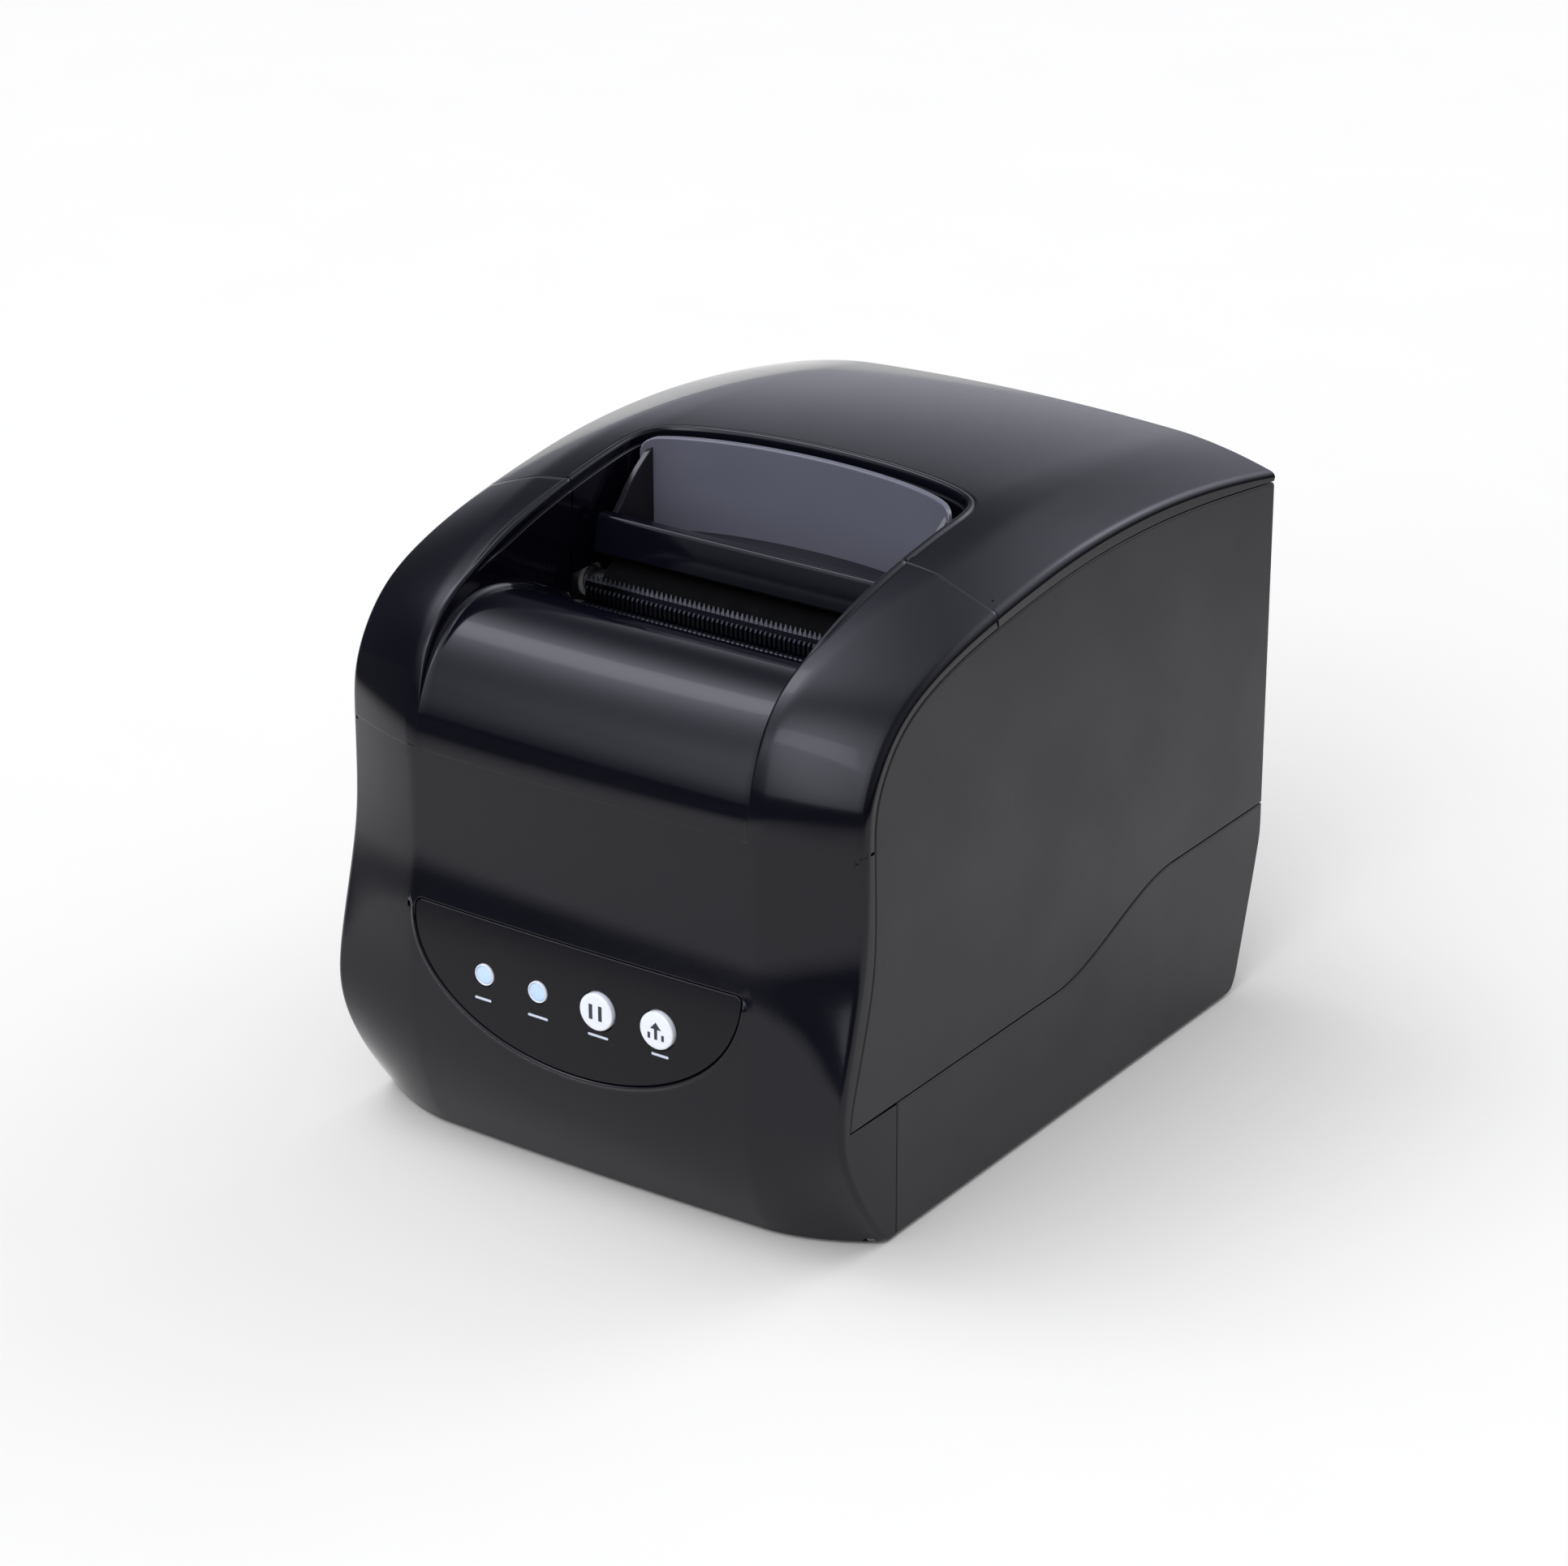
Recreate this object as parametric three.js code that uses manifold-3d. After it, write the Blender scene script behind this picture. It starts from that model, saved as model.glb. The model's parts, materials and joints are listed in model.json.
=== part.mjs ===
// Desktop thermal label printer: a clamshell case whose glossy strap of covers runs from the front
// foot over the lid to the back, with the paper bin, print head, platen drive and boards inside.
// Millimetres, +X to the right, +Y to the back, +Z up. The case is drawn with z = 0 at its lower
// edge, and the whole group is then lifted by the feet and centred front to back.
import * as THREE from 'three';
import { mergeVertices } from 'three/addons/utils/BufferGeometryUtils.js';
import Module from 'manifold-3d';

const wasm = await Module();
wasm.setup();

// ---------- driving dimensions ----------
const HALF_WIDTH = 73.5; // outside of the side panels and of the strap's edge
const SHOULDER = 47; // half width of the U-shaped opening, where the strap's side bands begin
const WALL = 2.5;
const REAR = 94.4; // outer face of the rear wall
const GAP = 0.4; // seam between neighbouring covers
const FOOT_HEIGHT = 1; // how far the feet lift the case
const GROUP_SHIFT_Y = 1.8; // brings the middle of the depth to y = 0
const SEAM_Z = 34; // seam between side panel and base, front stretch
const SEAM_RISE = 14.3; // how much higher that seam runs at the back
const BASE_FRONT = -72; // seam between the base's side and the front cover
const ROW_FRONT_SEAM = 9;
const ROW_LID_SEAM = 16;

const LID_PIVOT = { y: 93.4, z: 135.9 };
const KNUCKLE_R = 2.2;
const PIN_R = 1.1;

const PLATEN = { y: -22, z: 119.5, r: 6.5, halfLength: 42 };
const SHAFT_R = 3;
const BUSH_R = 4.5;
const HEAD_ANGLE = Math.PI / 3; // from straight below the platen round to its front

const MODULE_MM = 0.8;
const PLATEN_TEETH = 22;
const IDLER_TEETH = 32;
const PINION_TEETH = 12;
const GEAR_X = [-61, -57];
const MOTOR_SIDE = 28;
const MOTOR_LENGTH = 27;

const CHASSIS_X = [54.2, 55.7];
const SCREW_X = 60;
const U_WALL_X = [SHOULDER, SHOULDER + 2.3]; // upright walls of the U below the strap
const BIN = { y: 34, z: 86, r: 48, wall: 2.2, halfWidth: 53.8, frontTop: 94, rearTop: 123 };
const GUIDE_X = 42.6; // inner face of each paper guide with the guides fully open
const GUIDE_PLATE = 2.4;
const GUIDE_TRAVEL = 29;
const RACK_MODULE = 1;
const RACK_PINION_TEETH = 16;
const RACK_Z = [29, 33.4];
const RACK_BACK = [1.4, 6]; // the rack's solid strip, behind its pitch line
const RACK_REACH = 9; // how far the rack runs past the middle
const FANFOLD_Z = [92, 98]; // slot for folded labels fed from behind

const PANEL = { halfWidth: 47, top: 63, drop: 32.3, face: -98.3, back: -95.9 };
const LAMP_X = [-25.5, -9.7];
const BUTTON_X = [7.8, 24.9];
const KEY_Z = 49.5;
const LAMP_R = 2.7;
const BUTTON_R = 4.7;

const PLATE_Y = [80.3, 81.8]; // connector plate
const BOARD_Z = [9.2, 10.8];
const MOUTH_Z = [9, 36]; // opening in the rear wall for the connectors

// ---------- materials ----------
const finish = (color, roughness, metalness = 0, extra = {}) =>
  new THREE.MeshStandardMaterial({ color, roughness, metalness, ...extra });
const GLOSS = () => finish(0x16161c, 0.12);
const SATIN = () => finish(0x323134, 0.42);
const INNER = () => finish(0x1b1b1d, 0.55);
const SMOKE = () => finish(0x4a4b55, 0.1, 0, { transparent: true, opacity: 0.6 });
const WHITE = () => finish(0xe9edf2, 0.3);
const RUBBER = () => finish(0x151515, 0.85);
const STEEL = () => finish(0xb4b7ba, 0.3, 1);
const DARK_STEEL = () => finish(0x2c2d31, 0.35, 1);
const ALUMINIUM = () => finish(0xc2c4c8, 0.4, 1);
const BOARD = () => finish(0x1c5a35, 0.5);
const NYLON = () => finish(0xd9d6cc, 0.5);
const CERAMIC = () => finish(0xd8d3c4, 0.25);

// ---------- solids ----------
function solid(geometry) {
  const bare = new THREE.BufferGeometry();
  bare.setAttribute('position', geometry.getAttribute('position'));
  bare.setIndex(geometry.getIndex());
  const merged = mergeVertices(bare, 1e-4);
  const mesh = new wasm.Mesh({
    numProp: 3,
    vertProperties: merged.attributes.position.array,
    triVerts: new Uint32Array(merged.index.array),
  });
  return new wasm.Manifold(mesh);
}

function geometryOf(shape) {
  const mesh = shape.getMesh();
  const geometry = new THREE.BufferGeometry();
  geometry.setAttribute('position', new THREE.BufferAttribute(mesh.vertProperties, 3));
  geometry.setIndex(new THREE.BufferAttribute(mesh.triVerts, 1));
  return geometry;
}

const join = (...shapes) => shapes.reduce((a, b) => a.add(b));
const cut = (shape, ...tools) => tools.reduce((a, b) => a.subtract(b), shape);

function box(x, y, z) {
  const geometry = new THREE.BoxGeometry(x[1] - x[0], y[1] - y[0], z[1] - z[0]);
  geometry.translate((x[0] + x[1]) / 2, (y[0] + y[1]) / 2, (z[0] + z[1]) / 2);
  return solid(geometry);
}

function extruded(points, depth, basis) {
  const outline = new THREE.Shape(points.map((p) => new THREE.Vector2(p[0], p[1])));
  const geometry = new THREE.ExtrudeGeometry(outline, { depth, bevelEnabled: false });
  geometry.applyMatrix4(basis);
  return solid(geometry);
}

const X_AXIS = new THREE.Vector3(1, 0, 0);
const Y_AXIS = new THREE.Vector3(0, 1, 0);
const Z_AXIS = new THREE.Vector3(0, 0, 1);

// A (y, z) outline pushed along X, an (x, z) outline along Y, and an (x, y) outline along Z.
function prismX(points, x0, x1) {
  const basis = new THREE.Matrix4().makeBasis(Y_AXIS, Z_AXIS, X_AXIS).setPosition(x0, 0, 0);
  return extruded(points, x1 - x0, basis);
}

function prismY(points, y0, y1) {
  const back = Y_AXIS.clone().negate();
  const basis = new THREE.Matrix4().makeBasis(X_AXIS, Z_AXIS, back).setPosition(0, y1, 0);
  return extruded(points, y1 - y0, basis);
}

function prismZ(points, z0, z1) {
  return extruded(points, z1 - z0, new THREE.Matrix4().makeTranslation(0, 0, z0));
}

function circle(cx, cy, r, segments = 24, phase = 0) {
  const points = [];
  for (let i = 0; i < segments; i += 1) {
    const a = phase + (i / segments) * 2 * Math.PI;
    points.push([cx + r * Math.cos(a), cy + r * Math.sin(a)]);
  }
  return points;
}

// The stretch of x between two distances from the middle, on one side.
const SIDES = [-1, 1];
const span = (side, near, far) => (side < 0 ? [-far, -near] : [near, far]);
const wider = (range, by) => [range[0] - by, range[1] + by];

const rodX = (y, z, r, x0, x1, segments = 16) => prismX(circle(y, z, r, segments), x0, x1);
const rodY = (x, z, r, y0, y1, segments = 16) => prismY(circle(x, z, r, segments), y0, y1);
const rodZ = (x, y, r, z0, z1, segments = 16) => prismZ(circle(x, y, r, segments), z0, z1);

// ---------- the case's outer skin ----------
// Each row is one station along the strap, from the front foot up, over and back:
// (y, z) at the rim, at the shoulder line and at the middle, then the width of the rim's edge.
const ROWS = [
  [[-76.5, 0], [-87.2, 0], [-88, 0], 3],
  [[-81, 5.7], [-90.3, 5.7], [-91, 5.7], 3],
  [[-87, 14.3], [-93.9, 14.3], [-94.8, 14.3], 3],
  [[-92.6, 25], [-96.3, 25], [-97, 25], 3],
  [[-94.8, 35], [-97, 35], [-97.6, 35], 3.2],
  [[-93.3, 45], [-96.9, 45], [-97.7, 45], 4.2],
  [[-90, 57], [-96.6, 57], [-97.4, 57], 4.6],
  [[-86.9, 68.5], [-94.3, 68.5], [-95.1, 68.5], 4.6],
  [[-84.9, 80], [-93, 80], [-93.8, 80], 3.8],
  [[-84.8, 101.3], [-93.5, 101.3], [-94.3, 101.3], 3],
  [[-84.3, 110], [-92.3, 111], [-92.9, 111], 3],
  [[-82, 116.5], [-90.2, 119], [-90.8, 119.3], 3],
  [[-78, 122.8], [-87.5, 125.5], [-88, 126], 3],
  [[-72, 128.8], [-81, 132.6], [-81.5, 133.6], 3],
  [[-63, 133.7], [-70, 138.3], [-70.3, 139.6], 3],
  [[-49, 138], [-53, 144.3], [-53.2, 146], 3.2],
  [[-32.3, 141.2], [-33, 148.7], [-33, 150.5], 3.4],
  [[-8, 144.5], [-8, 152.3], [-8, 153.2], 3.8],
  [[15, 146], [15, 152.6], [15, 153.5], 4],
  [[45, 145.2], [45, 150.6], [45, 152], 4],
  [[75, 141.2], [75, 146.6], [75, 148.3], 3.4],
  [[REAR, 137.4], [REAR, 142.8], [REAR, 144.3], 2.4],
];
const LAST_ROW = ROWS.length - 1;
const curveOf = (k) => new THREE.SplineCurve(ROWS.map((r) => new THREE.Vector2(...r[k])));
const RIM = curveOf(0);
const SHOULDER_LINE = curveOf(1);
const MIDDLE = curveOf(2);
const EDGE = new THREE.SplineCurve(ROWS.map((r, i) => new THREE.Vector2(i, r[3])));

function skin(row, x) {
  const t = row / LAST_ROW;
  const shoulder = SHOULDER_LINE.getPoint(t);
  const a = Math.abs(x);
  if (a <= SHOULDER) return MIDDLE.getPoint(t).lerp(shoulder, (a / SHOULDER) ** 2);
  const side = (a - SHOULDER) / (HALF_WIDTH - SHOULDER);
  const straight = THREE.MathUtils.lerp(0.15, 0.45, Math.min(1, row / 4));
  return shoulder.lerp(RIM.getPoint(t), straight * side + (1 - straight) * side * side);
}

function under(row, x, depth) {
  const d = 0.02;
  const ahead = skin(Math.min(LAST_ROW, row + d), x);
  const behind = skin(Math.max(0, row - d), x);
  const along = ahead.sub(behind).normalize();
  const p = skin(row, x);
  return new THREE.Vector2(p.x + along.y * depth, p.y - along.x * depth);
}

const edgeWidth = (row) => EDGE.getPoint(row / LAST_ROW).y;
const stations = (from, to, count) =>
  Array.from({ length: count + 1 }, (_, i) => from + ((to - from) * i) / count);

// A closed solid between two grids of points that have the same rows and columns.
function between(outer, inner) {
  const rows = outer.length;
  const cols = outer[0].length;
  const position = [...outer.flat(), ...inner.flat()].flat();
  const index = [];
  const quad = (a, b, c, d) => index.push(a, b, c, a, c, d);
  const o = (i, j) => i * cols + j;
  const n = (i, j) => rows * cols + i * cols + j;
  for (let i = 0; i < rows - 1; i += 1) {
    for (let j = 0; j < cols - 1; j += 1) {
      quad(o(i, j), o(i, j + 1), o(i + 1, j + 1), o(i + 1, j));
      quad(n(i, j), n(i + 1, j), n(i + 1, j + 1), n(i, j + 1));
    }
    quad(o(i, 0), o(i + 1, 0), n(i + 1, 0), n(i, 0));
    quad(o(i, cols - 1), n(i, cols - 1), n(i + 1, cols - 1), o(i + 1, cols - 1));
  }
  for (let j = 0; j < cols - 1; j += 1) {
    quad(o(0, j), n(0, j), n(0, j + 1), o(0, j + 1));
    quad(o(rows - 1, j), o(rows - 1, j + 1), n(rows - 1, j + 1), n(rows - 1, j));
  }
  const geometry = new THREE.BufferGeometry();
  geometry.setAttribute('position', new THREE.Float32BufferAttribute(position, 3));
  geometry.setIndex(index);
  return solid(geometry);
}

function strap(rows, columns) {
  const outer = rows.map((r) => columns.map((x) => [x, ...skin(r, x).toArray()]));
  const inner = rows.map((r) => columns.map((x) => [x, ...under(r, x, edgeWidth(r)).toArray()]));
  return between(outer, inner);
}

// Everything under the skin down to a level, a little inside it so that joined walls stay hidden.
function below(rows, columns, level) {
  const outer = rows.map((r) => columns.map((x) => [x, ...under(r, x, 0.3).toArray()]));
  const floor = outer.map((line) => line.map(([x, y]) => [x, y, level]));
  return between(outer, floor);
}

const band = (sign) => [SHOULDER, 53, 60, 67, HALF_WIDTH].map((x) => sign * x);
const FULL_COLUMNS = [...band(-1).reverse(), -24, 0, 24, ...band(1)];
const rimLine = (rows, depth) => rows.map((r) => under(r, HALF_WIDTH, depth).toArray());
const SEAM_DROP = 0.03; // in rows: half a seam's width along the strap

const pieces = [];
function piece(name, shape, material) {
  const geometry = geometryOf(shape);
  geometry.computeVertexNormals();
  const mesh = new THREE.Mesh(geometry, material);
  mesh.name = name;
  pieces.push(mesh);
}

// The seam between side panel and base: level, an S-shaped rise, then level again.
function seamHeight(y) {
  const t = THREE.MathUtils.clamp((y + 4) / 54, 0, 1);
  return SEAM_Z + SEAM_RISE * t * t * (3 - 2 * t);
}
const SEAM_Y = [BASE_FRONT, -4, 5, 14, 23, 32, 41, 50, REAR];

// ---------- front cover, lower half ----------
function panelOutline(grow) {
  const points = [];
  const steps = 22;
  for (let i = 0; i <= steps; i += 1) {
    const a = Math.PI + (i / steps) * Math.PI;
    const x = (PANEL.halfWidth + grow) * Math.cos(a);
    const z = PANEL.top - 1.5 + (PANEL.drop - 1.5 + grow) * Math.sin(a);
    points.push([x, z]);
  }
  points.push([PANEL.halfWidth - 1.5 + grow, PANEL.top + grow]);
  points.push([-PANEL.halfWidth + 1.5 - grow, PANEL.top + grow]);
  return points;
}

const keyHoles = (grow) => [
  ...LAMP_X.map((x) => rodY(x, KEY_Z, LAMP_R + grow, -110, -80)),
  ...BUTTON_X.map((x) => rodY(x, KEY_Z, BUTTON_R + grow, -110, -80)),
];

function frontCoverLower() {
  const front = strap(stations(0, ROW_FRONT_SEAM - SEAM_DROP, 12), FULL_COLUMNS);
  const returnOutline = [
    ...rimLine(stations(0.05, 3.86, 8), 1),
    [BASE_FRONT - GAP / 2, SEAM_Z - GAP / 2],
    [BASE_FRONT - GAP / 2, 0],
  ];
  const returns = SIDES.map((s) => prismX(returnOutline, ...span(s, HALF_WIDTH - WALL, HALF_WIDTH)));
  const recess = prismY(panelOutline(0.3), -110, PANEL.back + 0.3);
  return cut(join(front, ...returns), recess, ...keyHoles(0.35));
}
piece('front_cover_lower', frontCoverLower(), GLOSS());

// ---------- control panel ----------
piece(
  'control_panel',
  cut(prismY(panelOutline(0), PANEL.face, PANEL.back), ...keyHoles(0.3)),
  finish(0x111115, 0.25),
);
LAMP_X.forEach((x, i) => {
  const lamp = join(
    rodY(x, KEY_Z, LAMP_R, PANEL.face - 0.4, -90),
    rodY(x, KEY_Z, LAMP_R + 1.2, -91.4, -90),
  );
  piece(['online_lamp', 'error_lamp'][i], lamp, WHITE());
});
BUTTON_X.forEach((x, i) => {
  const cap = join(
    rodY(x, KEY_Z, BUTTON_R, PANEL.face - 0.9, -90.4, 28),
    rodY(x, KEY_Z, BUTTON_R + 1.2, -92, -90.4, 28),
  );
  piece(['pause_button', 'feed_button'][i], cap, WHITE());
});

function keyBoard() {
  const board = box([-36, 36], [-87, -85.4], [40, 60]);
  const switches = BUTTON_X.map((x) => rodY(x, KEY_Z, 1.8, -89.4, -86.5, 12));
  const leds = LAMP_X.map((x) => box([x - 1.2, x + 1.2], [-88.6, -86.5], [KEY_Z - 1, KEY_Z + 1]));
  return join(board, ...switches, ...leds);
}
piece('key_board', keyBoard(), BOARD());

// ---------- front cover, upper half: rolled front, ledge and the two arms of the U ----------
const ROLL = new THREE.SplineCurve(
  [
    [-94.3, 101.75],
    [-93.4, 108],
    [-91.2, 114.8],
    [-88, 120.6],
    [-83.5, 125.5],
    [-77, 129.5],
    [-68, 131.4],
    [-57.5, 129.9],
    [-46, 125],
    [-35.2, 119.6],
  ].map((p) => new THREE.Vector2(...p)),
);

function rollOutline(depth) {
  const outer = ROLL.getPoints(14);
  const inner = stations(0, 1, 14).map((t) => {
    const p = ROLL.getPoint(t);
    const along = ROLL.getTangent(t);
    return [p.x + along.y * depth, p.y - along.x * depth];
  });
  return [...outer.map((p) => p.toArray()), ...inner.reverse()];
}

function frontCoverUpper() {
  const rows = stations(ROW_FRONT_SEAM + SEAM_DROP, ROW_LID_SEAM - SEAM_DROP, 12);
  const arms = [strap(rows, band(1)), strap(rows, band(-1).reverse())];
  const middle = prismX(rollOutline(2.8), -SHOULDER - 0.6, SHOULDER + 0.6);
  const wallTop = stations(11, ROW_LID_SEAM - SEAM_DROP, 10).map((r) =>
    under(r, SHOULDER, 0.5).toArray(),
  );
  const wallFoot = [
    [-33.6, 117.4],
    [-57, 127.4],
    [-68, 129],
    [-76, 127.6],
    [-86, 119.5],
  ];
  const walls = SIDES.map((s) => prismX([...wallTop, ...wallFoot], ...span(s, ...U_WALL_X)));
  return join(...arms, middle, ...walls);
}
piece('front_cover_upper', frontCoverUpper(), GLOSS());

// ---------- tear bar ----------
function tearBar() {
  const teeth = 42;
  const pitch = (2 * PLATEN.halfLength) / teeth;
  const points = [[PLATEN.halfLength, 114.6], [-PLATEN.halfLength, 114.6]];
  for (let i = 0; i < teeth; i += 1) {
    const x = -PLATEN.halfLength + i * pitch;
    points.push([x, 124.9], [x + pitch / 2, 125.9]);
  }
  points.push([PLATEN.halfLength, 124.9]);
  return prismY(points.reverse(), -34.6, -33.7);
}
piece('tear_bar', tearBar(), DARK_STEEL());

// ---------- lid ----------
const U_REAR = [
  [SHOULDER, -9],
  [46.1, -2.9],
  [42.2, 1.6],
  [32, 5],
  [17.5, 7.3],
  [0, 8],
];
const LID_CUT_Z = [100, 170]; // a cutter's height: past the lid both ways
const LID_FRONT = -31.5; // front end of the walls that hang from the lid
const SKIRT_Z = 136.3; // lower edge of the lid's rear wall
const LID_KNUCKLES = [
  [36.6, 41.6],
  [50.4, 55.4],
];
const CASE_KNUCKLE = [42, 50];
const pivotRod = (r, x, segments = 16) => rodX(LID_PIVOT.y, LID_PIVOT.z, r, ...x, segments);

// A half outline that ends on the middle line, with its mirror image added.
const mirrored = (half) => [
  ...half,
  ...half.slice(0, -1).reverse().map(([x, y]) => [-x, y]),
];

function openingOutline(grow) {
  const half = U_REAR.map(([x, y]) => [
    x + grow * Math.min(1, x / 40),
    y + grow * (1 - (x / SHOULDER) ** 4),
  ]);
  return mirrored([[SHOULDER + grow, -60], ...half]);
}

function topLid() {
  const rows = stations(ROW_LID_SEAM + SEAM_DROP, LAST_ROW, 9);
  const opening = prismZ(openingOutline(0), ...LID_CUT_Z);
  const cover = cut(strap(rows, FULL_COLUMNS), opening);
  const filled = below(rows, FULL_COLUMNS, 110);
  const lip = cut(prismZ(openingOutline(2.3), 145.5, LID_CUT_Z[1]), opening);
  const rearLip = lip.intersect(box([-60, 60], [LID_FRONT, 30], LID_CUT_Z));
  const sides = SIDES.map((s) => box(span(s, ...U_WALL_X), [LID_FRONT, -9], [124, LID_CUT_Z[1]]));
  const skirt = box([-HALF_WIDTH, HALF_WIDTH], [REAR - WALL, REAR], [SKIRT_Z, LID_CUT_Z[1]]);
  const walls = join(rearLip, ...sides, skirt).intersect(filled);
  const knuckles = SIDES.flatMap((s) =>
    LID_KNUCKLES.map((reach) => {
      const x = span(s, ...reach);
      return join(pivotRod(KNUCKLE_R, x), box(x, [91.9, 94.3], [LID_PIVOT.z, 139]));
    }),
  );
  const reliefs = SIDES.map((s) => pivotRod(KNUCKLE_R + 0.5, wider(span(s, ...CASE_KNUCKLE), 0.1)));
  const bores = SIDES.map((s) => pivotRod(PIN_R + 0.2, span(s, 36.1, 55.9)));
  return cut(join(cover, walls, ...knuckles), ...reliefs, ...bores);
}
piece('top_lid', topLid(), GLOSS());

// Smoked window: a bowed upright wall under the back of the U, with a floor and two side wings.
const WINDOW = { halfWidth: 43.6, bottom: 127.4, top: 152.4, wall: 1.6 };
function lidWindow() {
  const half = WINDOW.halfWidth;
  const outer = mirrored([
    [half, -6.2],
    [38, -1.8],
    [26, 2.2],
    [13, 4.3],
    [0, 5],
  ]);
  const inner = outer.map(([x, y]) => [x * 0.965, y - WINDOW.wall]);
  const wall = prismZ([...outer, ...inner.reverse()].reverse(), WINDOW.bottom, WINDOW.top);
  const floorOutline = [[half, -23], ...outer, [-half, -23]].reverse();
  const floor = prismZ(floorOutline, WINDOW.bottom, WINDOW.bottom + 1.4);
  const front = box([-half, half], [-23, -21.6], [WINDOW.bottom, 135]);
  const wingOutline = [
    [-6, WINDOW.bottom],
    [-22, WINDOW.bottom],
    [-22, 137],
    [-18.2, 140.6],
    [-16.5, 142.6],
    [-12.3, 146.2],
    [-6, 151],
  ];
  const wings = SIDES.map((s) => prismX(wingOutline, ...span(s, half - WINDOW.wall, half)));
  return join(wall, floor, front, ...wings);
}
piece('lid_window', lidWindow(), SMOKE());

// Cross bar in front of the window: a leaning face with a narrow top.
const BAR_OUTLINE = [
  [-23.6, 138.9],
  [-26.6, 138.9],
  [-27, 138.5],
  [-28.9, 130.2],
  [-28.3, 129.6],
  [-26.9, 129.9],
  [-25.1, 136.9],
  [-23.6, 137.1],
];
piece('lid_cross_bar', prismX(BAR_OUTLINE, -WINDOW.halfWidth, WINDOW.halfWidth), GLOSS());

function lidFrame() {
  const hangerOutline = [
    [-29, 112.6],
    [-14, 112.6],
    [-7, 124],
    [-7, 142],
    [-29, 142],
  ];
  const hangers = SIDES.map((s) => {
    const x = span(s, 50, 52.4);
    return cut(prismX(hangerOutline, ...x), rodX(PLATEN.y, PLATEN.z, BUSH_R + 0.3, ...wider(x, 1)));
  });
  return join(...hangers, box([-52.4, 52.4], [-13, -10.8], [116, 123.5]));
}
piece('lid_frame', lidFrame(), INNER());

// ---------- platen ----------
function tube(y, z, r, bore, x0, x1, segments = 20) {
  return cut(rodX(y, z, r, x0, x1, segments), rodX(y, z, bore, x0 - 1, x1 + 1, segments));
}

// Spur gear outline: straight-flanked teeth with working clearance, tooth centre at the phase angle.
function gearOutline(teeth, module, phase, cx, cy) {
  const r = (teeth * module) / 2;
  const pitch = (2 * Math.PI) / teeth;
  const points = [];
  for (let i = 0; i < teeth; i += 1) {
    const a = phase + i * pitch;
    const corner = (radius, share) => {
      const b = a + share * pitch;
      points.push([cx + radius * Math.cos(b), cy + radius * Math.sin(b)]);
    };
    corner(r - 1.2 * module, -0.28);
    corner(r + 0.85 * module, -0.1);
    corner(r + 0.85 * module, 0.1);
    corner(r - 1.2 * module, 0.28);
  }
  return points;
}

const centreDistance = (a, b) => ((a + b) * MODULE_MM) / 2 + 0.12;
// The idler lies against the direction in which the platen leaves it as the lid opens.
const leaving = new THREE.Vector2(PLATEN.z - LID_PIVOT.z, LID_PIVOT.y - PLATEN.y).normalize();
const platenCentre = new THREE.Vector2(PLATEN.y, PLATEN.z);
const toIdler = leaving.clone().negate();
const toPinion = new THREE.Vector2(-0.85, -0.527).normalize();
const idlerCentre = platenCentre
  .clone()
  .addScaledVector(toIdler, centreDistance(PLATEN_TEETH, IDLER_TEETH));
const pinionCentre = idlerCentre
  .clone()
  .addScaledVector(toPinion, centreDistance(IDLER_TEETH, PINION_TEETH));
const platenPhase = toIdler.angle();
const idlerPhase = toIdler.angle() + Math.PI + Math.PI / IDLER_TEETH;
const idlerPitch = (2 * Math.PI) / IDLER_TEETH;
const lag = THREE.MathUtils.euclideanModulo(toPinion.angle() - idlerPhase, idlerPitch);
const pinionPhase =
  toPinion.angle() + Math.PI + (lag * IDLER_TEETH + Math.PI) / PINION_TEETH;

const rollerX = [-PLATEN.halfLength, PLATEN.halfLength];
const roller = tube(PLATEN.y, PLATEN.z, PLATEN.r, SHAFT_R + 0.3, ...rollerX, 32);
piece('platen_roller', roller, RUBBER());
function gear(centre, teeth, phase, bore) {
  const wheel = prismX(gearOutline(teeth, MODULE_MM, phase, centre.x, centre.y), ...GEAR_X);
  return cut(wheel, rodX(centre.x, centre.y, bore, ...wider(GEAR_X, 1)));
}
piece('platen_shaft', rodX(PLATEN.y, PLATEN.z, SHAFT_R, -62, 57, 24), STEEL());
SIDES.forEach((s) => {
  const bush = tube(PLATEN.y, PLATEN.z, BUSH_R, SHAFT_R + 0.3, ...span(s, 49.7, 56));
  piece(s < 0 ? 'platen_bearing_left' : 'platen_bearing_right', bush, NYLON());
});
piece('platen_gear', gear(platenCentre, PLATEN_TEETH, platenPhase, SHAFT_R + 0.3), NYLON());
piece('idler_gear', gear(idlerCentre, IDLER_TEETH, idlerPhase, 2.3), NYLON());
piece('idler_axle', rodX(idlerCentre.x, idlerCentre.y, 2, -62, -54.1), STEEL());
piece('motor_pinion', gear(pinionCentre, PINION_TEETH, pinionPhase, 1.8), finish(0xc9a24b, 0.35, 1));

function stepperMotor() {
  const half = MOTOR_SIDE / 2;
  const edge = half - 3; // a flat side's end, where the corner's chamfer starts
  const quarters = [
    [1, 0],
    [0, 1],
    [-1, 0],
    [0, -1],
  ];
  const outline = quarters.flatMap(([c, s]) =>
    [
      [half, -edge],
      [half, edge],
    ].map(([y, z]) => [pinionCentre.x + c * y - s * z, pinionCentre.y + s * y + c * z]),
  );
  const face = -CHASSIS_X[0] + 0.4;
  const shaft = rodX(pinionCentre.x, pinionCentre.y, 1.5, -61.5, face + 1);
  return join(prismX(outline, face, face + MOTOR_LENGTH), shaft);
}
piece('stepper_motor', stepperMotor(), DARK_STEEL());

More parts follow.
